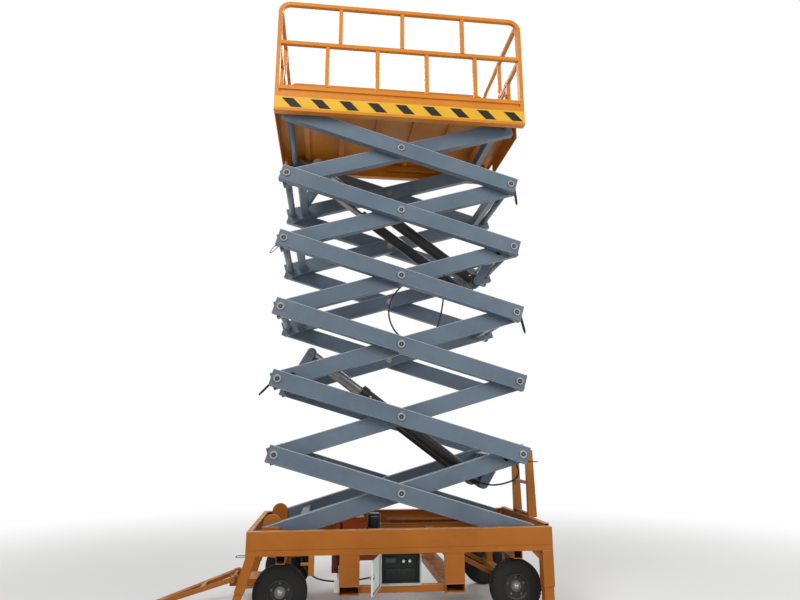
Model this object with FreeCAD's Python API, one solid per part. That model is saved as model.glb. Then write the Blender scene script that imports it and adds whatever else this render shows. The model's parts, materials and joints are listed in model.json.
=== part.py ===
import FreeCAD, Part
import math
import os

V = FreeCAD.Vector

# A towable six-stage scissor lift with its platform raised, in millimetres.
# The stack stands over X = 0, X runs along the chassis, Y across it and Z up.

# Scissor arms
stages = 6
arm_span = 2400.0
rest_angle = 16.5
arm_height = 160.0
arm_width = 80.0
arm_wall = 6.0
arm_overhang = 60.0
arm_gap = 10.0
stack_width = 1320.0
pivot_rise = 123.0

# Pins and welded ties between the arms
pin_radius = 30.0
boss_radius = 46.0
running_clearance = 0.05
face_clearance = 0.3
pin_cap_radius = 36.0
pin_cap_height = 9.0
tie_inset = 140.0
tie_size = 80.0
tie_wall = 6.0
tie_hole_radius = 27.0
low_tie_inset = 300.0
roller_radius = 39.0
roller_width = 40.0
roller_gap = 5.0
stub_pin_radius = 22.0

# Lift cylinders
cylinder_inset = 369.0
barrel_drop = 190.0
rod_rise = 202.0
cylinder_side = 250.0
barrel_stages = (1, 4)
rod_stages = (3, 6)
barrel_radius = 58.0
bore_radius = 48.0
rod_shown = 624.0
neck_length = 12.0
barrel_cap = 30.0
rod_radius = 35.0
piston_place = 474.0
gland_length = 70.0
gland_radius = 66.0
piston_length = 60.0
eye_radius = 48.0
rod_eye_width = 80.0
barrel_eye_spare = 3.0
eye_pin_radius = 25.0
lug_thickness = 14.0
lug_gap = 2.0
lug_radius = 46.0

# Chassis rails and beams
side_gap = 30.0
rail_spare_left = 140.0
rail_spare_right = 155.0
rail_rise = 52.0
channel_height = 150.0
channel_wall = 8.0
flange_width = 75.0
band_height = 50.0
band_width = 60.0
band_step = 3.0
ledge_thickness = 20.0
beam_height = 100.0
beam_width = 80.0
beam_wall = 6.0
end_beam_width = 45.0
end_beam_rise = 20.0

# Brackets of the fixed lower pivots
base_plate_gap = 5.0
base_plate_thickness = 15.0
base_plate_half = 80.0
base_plate_rise = 160.0
base_cheek_rise = 67.0
base_foot_thickness = 15.0

# Fork pockets
pocket_place = 460.0
pocket_width = 160.0
pocket_height = 62.0
pocket_wall = 6.0
pocket_floor = 234.0
tray_beam_height = 56.0
tray_beam_width = 60.0

# Running gear
wheel_inset = 150.0
wheel_side = 575.0
tyre_radius = 235.0
tyre_width = 125.0
tyre_gap = 15.0
bead_radius = 106.0
rim_width = 104.0
rim_wall = 5.0
shoulder_steps = ((8.0, 16.0), (22.0, 3.0), (40.0, 0.0))
side_wall_steps = ((2.0, 40.0), (0.0, 75.0))
hub_radius = 44.0
hub_length = 96.0
stub_radius = 22.0
stub_inset = 20.0
axle_gap = 6.0
disc_inner = 4.0
disc_outer = 12.0
hub_cap_depth = 18.0
hub_cap_radius = 26.0
hub_step = 12.0
axle_size = 80.0
turntable_radius = 200.0
turntable_thickness = 20.0
king_pin_radius = 30.0
king_pin_rise = 18.0
seat_place = 120.0
seat_half_length = 50.0
pedestal_place = 330.0
pedestal_half_width = 40.0
pedestal_half_length = 30.0
brace_place = 440.0
brace_width = 50.0
brace_thickness = 45.0

# Drawbar
tongue_reach = 460.0
drawbar_length = 850.0
drawbar_tube = 50.0
drawbar_bar = 40.0
ear_thickness = 16.0
ear_gap = 10.0
tongue_half_height = 30.0
drawbar_spread = 190.0
drawbar_pin_radius = 16.0
drawbar_tie = 30.0
drawbar_tie_share = 0.35
drawbar_hub_radius = 27.5
drawbar_tip_spread = 15.0
drawbar_pivot_height = 270.0
eye_ring_radius = 45.0
eye_ring_bore = 26.0
eye_ring_thickness = 30.0
eye_floor_gap = 6.0

# Stabiliser legs
leg_size = 100.0
leg_wall = 6.0
leg_joint_height = 260.0
leg_foot_size = 105.0
leg_foot_thickness = 12.0
leg_travel = 150.0
leg_top_gap = 8.0
leg_gusset_size = 95.0
leg_gusset_thickness = 10.0
splay_sleeve_length = 300.0
splay_inset = 5.0
splay_angle = 16.4
splay_inset_x = 45.0
splay_size = 80.0

# Control box
box_left = -185.0
door_gap = 0.5
door_hinge_radius = 5.0
door_hinge_pin = 2.5
door_hinge_height = 30.0
door_hinge_inset = 40.0
box_width = 350.0
box_height = 260.0
box_depth = 200.0
box_wall = 3.0
box_front = 745.0
door_thickness = 15.0
door_open_angle = 106.0
door_tab_thickness = 8.0
door_tab_depth = 20.0
panel_recess = 70.0
panel_thickness = 3.0

# Boarding ladder
ladder_half_width = 250.0
ladder_inset = 43.0
ladder_base_width = 88.0
ladder_top_width = 70.0
ladder_thickness = 40.0
ladder_top = 1420.0
rung_size = 30.0
rung_inset = 15.0
rung_count = 3

# Hydraulic unit
tray_half_width = 160.0
tray_thickness = 8.0
tank_left = -560.0
tank_length = 260.0
tank_width = 280.0
tank_height = 190.0
motor_gap = 30.0
motor_radius = 75.0
motor_rise = 215.0
motor_length = 150.0
pump_width = 110.0
flange_radius = 55.0
flange_length = 20.0

# Hanging hook plate beside the drawbar end's near wheel
hook_plate_x = -785.0
hook_plate_width = 50.0
hook_plate_thickness = 10.0
hook_plate_drop = 160.0
hook_tab_length = 65.0
hook_tab_height = 22.0
hook_tab_drop = 55.0

# Hoses
hose_radius = 8.0

# Platform
platform_overhang = 100.0
platform_edge_height = 198.0
deck_height = 150.0
deck_thickness = 5.0
joist_height = 40.0
joist_width = 60.0
joist_wall = 4.0
joist_count = 6
joist_reach = 1000.0
end_plate_thickness = 8.0
guard_height = 1210.0
guard_mid = 577.0
guard_low = 60.0
guard_tube = 40.0
guard_corner = 110.0
guard_gap = 0.5
toe_thickness = 8.0
gate_width = 600.0
gate_gap = 8.0
gate_hinge_radius = 8.0
gate_hinge_pin = 4.0
gate_hinge_height = 40.0
gate_hinge_rises = (80.0, 400.0)
gate_tab_thickness = 12.0
gate_tube = 30.0
gate_floor_gap = 20.0
bracket_gap = 8.0
bracket_thickness = 14.0
bracket_half = 60.0
bracket_drop = 45.0
platform_ledge_inset = 40.0

# Values worked out from the sizes above
beam_top = 2 * tyre_radius + tyre_gap + beam_height
pivot_height = beam_top + pivot_rise
rail_top = pivot_height + rail_rise
end_beam_top = rail_top + end_beam_rise
rail_left = -arm_span / 2 - rail_spare_left
rail_right = arm_span / 2 + rail_spare_right
wheel_place = arm_span / 2 - wheel_inset
ladder_left = rail_right - ladder_inset
splay_top_x = rail_left + splay_inset_x
platform_length = arm_span + 2 * platform_overhang
tie_reach = arm_span / 2 - tie_inset
low_tie_reach = arm_span / 2 - low_tie_inset
cylinder_reach = arm_span / 2 - cylinder_inset
tilt = math.radians(rest_angle)
stage_rise = arm_span * math.sin(tilt)
half_span = arm_span * math.cos(tilt) / 2
outer_face = stack_width / 2
inner_face = outer_face - 2 * arm_width - arm_gap
top_pivot_height = pivot_height + stages * stage_rise
rail_face = outer_face + side_gap + flange_width
platform_width = 2 * rail_face
rail_bottom = rail_top - channel_height - band_height
box_floor = rail_bottom - box_height
web_inside = rail_face - channel_wall
pocket_outer = pocket_width + 2 * pocket_wall
drawbar_pivot_x = -wheel_place - tongue_reach
eye_drop = drawbar_pivot_height - eye_ring_thickness / 2 - eye_floor_gap
drawbar_reach = math.sqrt(drawbar_length ** 2 - eye_drop ** 2)
machine_left = drawbar_pivot_x - drawbar_reach - eye_ring_radius
machine_right = ladder_left + ladder_base_width
door_turn = math.radians(door_open_angle)
door_hinge_x = box_left - door_hinge_radius
door_hinge_y = -box_front - door_hinge_radius
door_back = door_hinge_radius - door_gap
door_leaf_start = math.hypot(door_hinge_radius, door_hinge_pin) + door_gap
door_reach = (box_width + door_hinge_radius) * math.sin(door_turn)
door_edge = min(door_back * math.cos(door_turn), (door_back - door_thickness) * math.cos(door_turn))
door_front = door_hinge_y - door_reach + door_edge
bracket_face = outer_face + bracket_gap
barrel_eye_width = 2 * (barrel_radius + barrel_eye_spare)
hanger_depth = band_width + band_step
leg_inner = leg_size - 2 * (leg_wall + face_clearance)
splay_inner = splay_size - 2 * (leg_wall + face_clearance)
gate_hinge_x = platform_length / 2 - guard_tube - gate_hinge_radius
gate_hinge_y = -(gate_width - gate_gap) / 2
origin = V((machine_left + machine_right) / 2, (door_front + rail_face) / 2, 0)


def block(x, y, z):
    """A box between pairs of X, Y and Z values."""
    return Part.makeBox(x[1] - x[0], y[1] - y[0], z[1] - z[0], V(x[0], y[0], z[0]))


def bar(start, end, radius):
    """A round bar between two points."""
    way = end - start
    return Part.makeCylinder(radius, way.Length, start, way)


def cross_bar(x, z, y0, y1, radius):
    """A round bar across the machine."""
    return bar(V(x, y0, z), V(x, y1, z), radius)


def side_plate(points, y0, y1):
    """A plate with an outline in X and Z, from y0 to y1."""
    outline = Part.makePolygon([V(x, y0, z) for x, z in points + points[:1]])
    return Part.Face(outline).extrude(V(0, y1 - y0, 0))


def mirrored(shape):
    """The same shape on the other side of the machine."""
    return shape.mirror(V(0, 0, 0), V(0, 1, 0))


def pair(shape):
    """A shape and its mirror image across the machine."""
    return [shape, mirrored(shape)]


def fused(shapes):
    """One solid from shapes that touch."""
    return shapes[0].multiFuse(shapes[1:]).removeSplitter()


def box_tube(x, y, z, wall, open_axis):
    """A box tube that is open along one axis, named by its number."""
    inner = [[a + wall, b - wall] for a, b in (x, y, z)]
    inner[open_axis] = (x, y, z)[open_axis]
    return block(x, y, z).cut(block(*inner))


def stage_centre(stage):
    """The centre pin of a stage, counted from 1 at the bottom."""
    return V(0, 0, pivot_height + (stage - 0.5) * stage_rise)


def set_in_stage(shape, stage, lean):
    """Turns a level shape by the arm angle and moves it to its stage.
    lean is 1 for the arms that rise to the right and -1 for the others."""
    placed = shape.copy()
    placed.rotate(V(0, 0, 0), V(0, 1, 0), -lean * rest_angle)
    placed.translate(stage_centre(stage))
    return placed


def arm(side_face, hole_radius):
    """A box-section arm on the far side, with a bearing tube at each pin."""
    reach = arm_span / 2 + arm_overhang
    y = (side_face, side_face + arm_width)
    z = (-arm_height / 2, arm_height / 2)
    tube = box_tube((-reach, reach), y, z, arm_wall, 0)
    places = (-arm_span / 2, 0, arm_span / 2)
    bosses = [cross_bar(x, 0, y[0], y[1], boss_radius) for x in places]
    holes = [cross_bar(x, 0, y[0], y[1], hole_radius) for x in places]
    return tube.multiFuse(bosses).cut(holes)


def outer_arms(stage):
    """The two arms of an outer frame, with the pins fixed in them."""
    shape = arm(inner_face + arm_width + arm_gap, pin_radius)
    return [set_in_stage(a, stage, -1) for a in pair(shape)]


def inner_arms(stage):
    """The two arms of an inner frame, with a round hole over a tie that carries lugs."""
    shape = arm(inner_face, pin_radius + running_clearance)
    skin = inner_face + arm_width - arm_wall
    if stage in barrel_stages + rod_stages:
        side = 1 if stage in barrel_stages else -1
        shape = shape.cut(cross_bar(side * tie_reach, 0, skin, skin + arm_wall, tie_hole_radius))
    return [set_in_stage(a, stage, 1) for a in pair(shape)]


def pin_cap(x, face):
    """The round cap of a pin, proud of the outer arm's face."""
    return cross_bar(x, 0, face, face + pin_cap_height, pin_cap_radius)


def outer_pins(stage):
    """The centre pins and end shafts that an outer frame carries."""
    centre = fused([cross_bar(0, 0, inner_face, outer_face, pin_radius), pin_cap(0, outer_face)])
    left = -arm_span / 2
    right = arm_span / 2
    shafts = [end_shaft(left, stage == stages), end_shaft(right, False)]
    if stage == 1:
        shafts[1] = roller_shaft(right, outer_face)
    solids = pair(centre) + shafts
    return [set_in_stage(solid, stage, -1) for solid in solids]


def end_shaft(x, long_ends):
    """A shaft across the stack. Long ends reach out through the platform's brackets."""
    reach = outer_face
    shaft = cross_bar(x, 0, -reach, reach, pin_radius)
    if long_ends:
        stub = cross_bar(x, 0, reach, bracket_face + bracket_thickness, stub_pin_radius)
        return fused([shaft, stub, mirrored(stub)])
    cap = pin_cap(x, reach)
    return fused([shaft, cap, mirrored(cap)])


def roller_shaft(x, shaft_end):
    """A shaft across the stack with a roller at each end, in the side channels."""
    shaft = cross_bar(x, 0, -shaft_end, shaft_end, pin_radius)
    roller_end = web_inside - roller_gap
    roller = fused([cross_bar(x, 0, shaft_end, roller_end, stub_pin_radius),
                    cross_bar(x, 0, roller_end - roller_width, roller_end, roller_radius)])
    return fused([shaft, roller, mirrored(roller)])


def cross_tie(x):
    """A square tube welded between the inner arms."""
    half = tie_size / 2
    z = (-half, half)
    return box_tube((x - half, x + half), (-inner_face, inner_face), z, tie_wall, 1)


def lug(tie_x, pin_x, pin_z, y, hole_radius):
    """A plate from a cross tie out to a cylinder's pin, centred on y."""
    half = tie_size / 2
    y0 = y - lug_thickness / 2
    y1 = y + lug_thickness / 2
    inward = -1 if tie_x > 0 else 1
    upward = 1 if pin_z > 0 else -1
    root = [(tie_x + inward * half, -upward * half), (tie_x + inward * half, upward * half),
            (tie_x - inward * half * 0.2, upward * half)]
    way = V(pin_x - tie_x, 0, pin_z).normalize()
    across = V(-way.z, 0, way.x)
    tip = [(pin_x + across.x * lug_radius * k, pin_z + across.z * lug_radius * k) for k in (1, -1)]
    if inward * upward < 0:
        tip.reverse()
    web = side_plate([root[0], root[1], root[2]] + tip, y0, y1)
    end = cross_bar(pin_x, pin_z, y0, y1, lug_radius)
    return web.fuse(end).cut(cross_bar(pin_x, pin_z, y0, y1, hole_radius))


def lug_sides(eye_width):
    """The places across the machine of the four lug plates on a tie."""
    step = eye_width / 2 + lug_gap + lug_thickness / 2
    return [side * cylinder_side + k * step for side in (1, -1) for k in (1, -1)]


def lugged_tie(tie_x, pin_x, pin_z, eye_width):
    """A cross tie with its four cylinder lugs, either side of eyes of a width."""
    plates = [lug(tie_x, pin_x, pin_z, y, eye_pin_radius) for y in lug_sides(eye_width)]
    return cross_tie(tie_x).multiFuse(plates)


def lug_pin(pin_x, pin_z, side):
    """The pin through one pair of lugs and the barrel's eye between them."""
    reach = barrel_eye_width / 2 + lug_gap + lug_thickness
    return cross_bar(pin_x, pin_z, side * cylinder_side - reach,
                     side * cylinder_side + reach, eye_pin_radius)


def inner_ties(stage):
    """The cross ties of an inner frame, with cylinder lugs where a pair is fixed."""
    left = cross_tie(-low_tie_reach if stage == 1 else -tie_reach)
    right = cross_tie(tie_reach)
    extra = []
    if stage in barrel_stages:
        right = lugged_tie(tie_reach, cylinder_reach, -barrel_drop, barrel_eye_width)
        extra = [lug_pin(cylinder_reach, -barrel_drop, side) for side in (1, -1)]
    if stage in rod_stages:
        left = lugged_tie(-tie_reach, -cylinder_reach, rod_rise, rod_eye_width)
    if stage == stages:
        extra = top_rollers()
    return [set_in_stage(solid, stage, 1) for solid in [left, right] + extra]


def top_rollers():
    """The two stub pins and rollers at the top of the last inner frame."""
    x = arm_span / 2
    roller_end = web_inside - roller_gap
    stub = cross_bar(x, 0, inner_face, roller_end, pin_radius)
    wheel = cross_bar(x, 0, roller_end - roller_width, roller_end, roller_radius)
    return pair(fused([stub, wheel]))


def cylinder_line(stage):
    """The base pin of a cylinder pair and the unit way to its rod pin, at rest."""
    base = local_point(stage, cylinder_reach, -barrel_drop)
    eye = local_point(stage + 2, -cylinder_reach, rod_rise)
    return base, (eye - base)


def local_point(stage, along, above):
    """A point of an inner frame, given along its arms and above them."""
    centre = stage_centre(stage)
    return V(along * math.cos(tilt) - above * math.sin(tilt), 0,
             centre.z + along * math.sin(tilt) + above * math.cos(tilt))


def along_cylinder(shape, stage, side):
    """Places a shape made along +X on a cylinder's line."""
    base, way = cylinder_line(stage)
    placed = shape.copy()
    placed.rotate(V(0, 0, 0), V(0, 1, 0), math.degrees(math.atan2(-way.z, way.x)))
    placed.translate(base + V(0, side * cylinder_side, 0))
    return placed


def turned(points):
    """A body of revolution about X from (x, radius) points."""
    outline = Part.makePolygon([V(x, 0, r) for x, r in points + points[:1]])
    return Part.Face(outline).revolve(V(0, 0, 0), V(1, 0, 0), 360)


def eye(x, width):
    """A round eye about a pin across X."""
    return cross_bar(x, 0, -width / 2, width / 2, eye_radius)


def barrel():
    """A cylinder's barrel with its base eye, along +X from the base pin."""
    foot = eye_radius + neck_length
    cap = foot + barrel_cap
    end = cylinder_line(barrel_stages[0])[1].Length - rod_shown
    gland = end - gland_length
    rod_hole = rod_radius + running_clearance
    outline = [(foot, 0), (foot, barrel_radius), (gland, barrel_radius), (gland, gland_radius),
               (end, gland_radius), (end, rod_hole), (gland, rod_hole), (gland, bore_radius),
               (cap, bore_radius), (cap, 0)]
    half = barrel_eye_width / 2
    neck = block((0, foot), (-half, half), (-eye_radius, eye_radius))
    hole = cross_bar(0, 0, -half, half, eye_pin_radius + running_clearance)
    return turned(outline).fuse([neck, eye(0, barrel_eye_width)]).cut(hole)


def rod():
    """A cylinder's rod with its piston and eye, from its place at rest."""
    tip = cylinder_line(barrel_stages[0])[1].Length
    piston_radius = bore_radius - running_clearance
    piston_end = piston_place + piston_length
    outline = [(piston_place, 0), (piston_place, piston_radius), (piston_end, piston_radius),
               (piston_end, rod_radius), (tip - eye_radius / 2, rod_radius), (tip - eye_radius / 2, 0)]
    half = rod_eye_width / 2
    hole = cross_bar(tip, 0, -half, half, eye_pin_radius + running_clearance)
    return turned(outline).fuse(eye(tip, rod_eye_width)).cut(hole)


def cylinder_parts(make, stage):
    """The two like parts of a cylinder pair, side by side."""
    return [along_cylinder(make(), stage, side) for side in (1, -1)]


def rail():
    """A side rail: a channel with its web outwards over a lower band."""
    y = (rail_face - flange_width, rail_face)
    band_top = rail_bottom + band_height
    x = (rail_left, rail_right)
    channel = block(x, y, (band_top, rail_top))
    hollow = block(x, (y[0], web_inside), (band_top + channel_wall, rail_top - channel_wall))
    band = box_tube(x, (rail_face - band_step - band_width, rail_face - band_step),
                    (rail_bottom, band_top), beam_wall, 0)
    ledge_top = pivot_height - roller_radius - face_clearance
    ledge = block((0, rail_right - end_beam_width), (y[0], web_inside),
                  (ledge_top - ledge_thickness, ledge_top))
    return fused([channel.cut(hollow), band, ledge])


def cross_beams():
    """The beams between the rails, and the two end beams."""
    reach = rail_face - band_step - band_width
    solids = []
    floor = beam_top - beam_height
    for x in (-wheel_place, -pocket_place, pocket_place, wheel_place):
        span_x = (x - beam_width / 2, x + beam_width / 2)
        solids.append(box_tube(span_x, (-reach, reach), (floor, beam_top), beam_wall, 1))
    ring = Part.makeCylinder(turntable_radius, turntable_thickness,
                             V(-wheel_place, 0, floor - turntable_thickness))
    bore = Part.makeCylinder(king_pin_radius + running_clearance,
                             turntable_thickness + beam_wall,
                             V(-wheel_place, 0, floor - turntable_thickness))
    solids[0] = fused([solids[0], ring]).cut(bore)
    for x0, top in ((rail_left, rail_top), (rail_right - end_beam_width, end_beam_top)):
        span_x = (x0, x0 + end_beam_width)
        inside = rail_face - flange_width
        solids.append(box_tube(span_x, (-inside, inside), (rail_bottom + band_height, top),
                               beam_wall, 1))
    return solids


def base_brackets():
    """The plates and pins that hold the fixed lower ends of the first inner frame."""
    x = -half_span
    half = base_plate_half
    inner_y = (inner_face - base_plate_gap - base_plate_thickness, inner_face - base_plate_gap)
    outer_y = (inner_face + arm_width + base_plate_gap,
               inner_face + arm_width + base_plate_gap + base_plate_thickness)
    round_z = pivot_height + base_plate_rise - half
    shapes = [block((x - half, x + half), inner_y, (beam_top, round_z)),
              cross_bar(x, round_z, inner_y[0], inner_y[1], half),
              block((x - half, x + half), outer_y, (beam_top, pivot_height + base_cheek_rise)),
              cross_bar(x, pivot_height, inner_y[0], outer_y[1], pin_radius)]
    beam_x = (-wheel_place - beam_width / 2, -wheel_place + beam_width / 2)
    foot_x = (min(x - half, beam_x[0]), max(x + half, beam_x[0]))
    shapes.append(block(foot_x, (inner_y[0], rail_face - band_step - band_width),
                        (beam_top, beam_top + base_foot_thickness)))
    return pair(fused(shapes))


def leg_sleeve():
    """The fixed upright sleeve of a right-hand stabiliser."""
    x = (rail_right - leg_size, rail_right)
    y = (rail_face - leg_size, rail_face)
    sleeve = box_tube(x, y, (leg_joint_height, rail_bottom), leg_wall, 2)
    middle = rail_face - band_step - band_width / 2
    gusset = side_plate([(x[0], rail_bottom), (x[0] - leg_gusset_size, rail_bottom),
                         (x[0], rail_bottom - leg_gusset_size)],
                        middle - leg_gusset_thickness / 2, middle + leg_gusset_thickness / 2)
    return sleeve.fuse(gusset)


def splay_turn(shape):
    """Turns an upright shape out by the splay and moves it under the rail's left end."""
    placed = shape.copy()
    placed.rotate(V(0, 0, 0), V(0, 1, 0), splay_angle)
    placed.translate(V(splay_top_x, 0, rail_bottom))
    return placed


def splay_sleeve():
    """The fixed sleeve of a left-hand stabiliser, splayed outwards."""
    half = splay_size / 2
    y = (rail_face - splay_size - splay_inset, rail_face - splay_inset)
    sleeve = box_tube((-half, half), y, (-splay_sleeve_length, splay_size), leg_wall, 2)
    below = block((rail_left * 2, 0), (0, rail_face), (0, rail_bottom))
    return splay_turn(sleeve).common(below)


def hangers():
    """The box posts that hang the fork pockets from a rail."""
    solids = []
    for x in (-pocket_place, pocket_place):
        span_x = (x - pocket_outer / 2, x + pocket_outer / 2)
        y = (rail_face - hanger_depth, rail_face - band_step)
        z = (pocket_floor + pocket_height + 2 * pocket_wall, rail_bottom)
        solids.append(box_tube(span_x, y, z, pocket_wall, 2))
    return solids


def rail_posts():
    """What hangs from the rails: stabiliser sleeves, pocket hangers, braces and a hook plate."""
    inner = pocket_place - pocket_outer / 2
    y1 = rail_face - hanger_depth / 2
    tray_beam = box_tube((-inner, inner), (y1 - tray_beam_width, y1),
                         (box_floor - tray_beam_height, box_floor), pocket_wall, 0)
    far = [leg_sleeve(), splay_sleeve(), tray_beam, axle_brace()] + hangers()
    return far + [mirrored(solid) for solid in far] + [hook_plate()]


def hook_plate():
    """A flat hook plate under the near rail, with a short level tab."""
    y = -rail_face + band_step
    half = hook_plate_width / 2
    plate = block((hook_plate_x - half, hook_plate_x + half), (y, y + hook_plate_thickness),
                  (rail_bottom - hook_plate_drop, rail_bottom))
    tab = block((hook_plate_x - half - hook_tab_length, hook_plate_x), (y, y + hook_plate_thickness),
                (rail_bottom - hook_tab_drop - hook_tab_height, rail_bottom - hook_tab_drop))
    return plate.fuse(tab)


def fork_pockets():
    """Two box tubes across the chassis for fork tines, joined by beams."""
    solids = []
    for x in (-pocket_place, pocket_place):
        solids.append(box_tube((x - pocket_outer / 2, x + pocket_outer / 2),
                               (-rail_face + band_step, rail_face - band_step),
                               (pocket_floor, pocket_floor + pocket_height + 2 * pocket_wall),
                               pocket_wall, 1))
    return solids


def leg_foot(x, y):
    """A square foot pad on the floor."""
    half = leg_foot_size / 2
    return block((x - half, x + half), (y - half, y + half), (0, leg_foot_thickness))


def jack_leg(x_end, far):
    """A stabiliser's sliding leg. x_end is 1 at the right and -1 at the left."""
    foot_y = rail_face - leg_foot_size / 2
    if x_end > 0:
        x = rail_right - leg_size / 2
        y = rail_face - leg_size / 2
        half = leg_inner / 2
        top = rail_bottom - leg_travel - leg_top_gap
        post = block((x - half, x + half), (y - half, y + half), (leg_foot_thickness, top))
        leg = fused([post, leg_foot(x, foot_y)])
    else:
        half = splay_inner / 2
        y = rail_face - splay_inset - splay_size / 2
        top = -leg_travel - leg_top_gap - half
        post = splay_turn(block((-half, half), (y - half, y + half), (-rail_bottom * 1.2, top)))
        above = block((rail_left * 2, 0), (0, rail_face), (leg_foot_thickness, rail_bottom))
        foot_x = splay_top_x - math.tan(math.radians(splay_angle)) * rail_bottom
        leg = fused([post.common(above), leg_foot(foot_x, foot_y)])
    return leg if far else mirrored(leg)


def axle_beam(x):
    """An axle beam with stub ends."""
    reach = wheel_side - hub_length / 2 - axle_gap
    half = axle_size / 2
    beam = block((x - half, x + half), (-reach, reach), (tyre_radius - half, tyre_radius + half))
    stub = cross_bar(x, tyre_radius, reach, wheel_side + hub_length / 2 - stub_inset, stub_radius)
    return [beam, stub, mirrored(stub)]


def rear_axle():
    """The fixed right-hand axle with its pedestals."""
    top = beam_top - beam_height
    axle_top = tyre_radius + axle_size / 2
    half = pedestal_half_width
    shapes = axle_beam(wheel_place)
    for side in (1, -1):
        y = side * pedestal_place
        shapes.append(block((wheel_place - pedestal_half_length, wheel_place + pedestal_half_length),
                            (y - half, y + half), (axle_top, top)))
    return fused(shapes)


def axle_brace():
    """A slanting bar from the right-hand axle up to the nearer pocket beam."""
    half = brace_width / 2
    axle_top = tyre_radius + axle_size / 2
    low_x = wheel_place - axle_size / 2
    high_x = pocket_place + beam_width / 2
    floor = beam_top - beam_height
    outline = [(low_x, axle_top - brace_thickness), (low_x, axle_top),
               (high_x, floor + brace_thickness), (high_x, floor)]
    return side_plate(outline, brace_place - half, brace_place + half)


def turntable():
    """The turning ring of the steered axle, its king pin and its two seats."""
    x = -wheel_place
    ring_top = beam_top - beam_height - turntable_thickness - face_clearance
    ring = Part.makeCylinder(turntable_radius, turntable_thickness,
                             V(x, 0, ring_top - turntable_thickness))
    pin = Part.makeCylinder(king_pin_radius, turntable_thickness + beam_wall + king_pin_rise,
                            V(x, 0, ring_top - king_pin_rise / 2))
    seat_z = (tyre_radius + axle_size / 2, ring_top - turntable_thickness)
    seats = [block((x - seat_half_length, x + seat_half_length),
                   (y - pedestal_half_width, y + pedestal_half_width), seat_z)
             for y in (-seat_place, seat_place)]
    return [ring, pin] + seats


def front_axle():
    """The steered axle, its ring and the tongue out to the drawbar's pivot."""
    half = axle_size / 2
    tall = tongue_half_height
    ear_y = drawbar_spread - drawbar_tube / 2 - ear_gap
    root = drawbar_pivot_x + drawbar_tube
    tongue = block((root, -wheel_place - half), (-ear_y, ear_y),
                   (tyre_radius - tall, tyre_radius + tall))
    ear = block((drawbar_pivot_x - tall, root), (ear_y - ear_thickness, ear_y),
                (tyre_radius - tall, drawbar_pivot_height + tall))
    ears = pair(ear)
    pin = cross_bar(drawbar_pivot_x, drawbar_pivot_height, -drawbar_spread - drawbar_tube / 2,
                    drawbar_spread + drawbar_tube / 2, drawbar_pin_radius)
    return fused(turntable() + axle_beam(-wheel_place) + [tongue, pin] + ears)


def drawbar():
    """An A-shaped drawbar from its pivot down to its eye near the floor."""
    eye_x = drawbar_pivot_x - drawbar_reach
    eye_z = eye_ring_thickness / 2 + eye_floor_gap
    start_z = drawbar_pivot_height
    half = drawbar_tube / 2
    legs = []
    for side in (1, -1):
        start = V(drawbar_pivot_x, side * drawbar_spread, start_z)
        end = V(eye_x + eye_ring_radius, side * drawbar_tip_spread, eye_z)
        legs.append(square_bar(start, end, drawbar_bar))
        legs.append(cross_bar(drawbar_pivot_x, start_z, side * drawbar_spread - half,
                              side * drawbar_spread + half, drawbar_hub_radius))
    ring = Part.makeCylinder(eye_ring_radius, eye_ring_thickness,
                             V(eye_x, 0, eye_z - eye_ring_thickness / 2))
    hole = Part.makeCylinder(eye_ring_bore, eye_ring_thickness,
                             V(eye_x, 0, eye_z - eye_ring_thickness / 2))
    bore = cross_bar(drawbar_pivot_x, start_z, -drawbar_spread - half, drawbar_spread + half,
                     drawbar_pin_radius + running_clearance)
    share = drawbar_tie_share
    tie_x = drawbar_pivot_x + (eye_x - drawbar_pivot_x) * share
    tie_z = start_z + (eye_z - start_z) * share
    tie_y = drawbar_spread * (1 - share) + drawbar_tip_spread * share
    tie = square_bar(V(tie_x, -tie_y, tie_z), V(tie_x, tie_y, tie_z), drawbar_tie)
    return fused(legs + [ring, tie]).cut([hole, bore])


def square_bar(start, end, size):
    """A square bar between two points."""
    way = end - start
    half = size / 2
    shape = block((-half, half), (-half, half), (0, way.Length))
    shape.Placement = FreeCAD.Placement(start, FreeCAD.Rotation(V(0, 0, 1), way))
    return shape


def tyre(x, far):
    """A tyre about Y, with bulging side walls and rounded shoulders."""
    half = tyre_width / 2
    lip = rim_width / 2
    # Distance from the middle and radius, from the bead out to the tread
    side = [(lip, bead_radius)]
    side += [(half - inward, bead_radius + outward) for inward, outward in side_wall_steps]
    side += [(half - inward, tyre_radius - drop) for inward, drop in shoulder_steps]
    points = [(a, r) for a, r in side] + [(-a, r) for a, r in reversed(side)]
    polygon = Part.makePolygon([V(a, 0, r) for a, r in points + points[:1]])
    return wheel_turned(Part.Face(polygon), x, far)


def wheel_turned(face, x, far):
    """Turns a wheel profile, drawn with X as the axle, and sets it in its place."""
    shape = face.revolve(V(0, 0, 0), V(1, 0, 0), 360)
    shape.rotate(V(0, 0, 0), V(0, 0, 1), 90)
    shape.translate(V(x, wheel_side, tyre_radius))
    return shape if far else mirrored(shape)


def rim(x, far):
    """A rim with its dished disc and hub, bored for the stub axle."""
    half = rim_width / 2
    well = bead_radius - rim_wall
    bore = stub_radius + running_clearance
    hub_half = hub_length / 2
    outline = [(-hub_half, bore), (hub_half - hub_cap_depth, bore), (hub_half - hub_cap_depth, 0),
               (hub_half, 0), (hub_half, hub_cap_radius), (hub_half - hub_step, hub_cap_radius),
               (hub_half - hub_step, hub_radius), (disc_outer, hub_radius), (disc_outer, well),
               (half, well), (half, bead_radius), (-half, bead_radius), (-half, well),
               (disc_inner, well), (disc_inner, hub_radius), (-hub_half, hub_radius)]
    polygon = Part.makePolygon([V(a, 0, r) for a, r in outline + outline[:1]])
    return wheel_turned(Part.Face(polygon), x, far)


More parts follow.
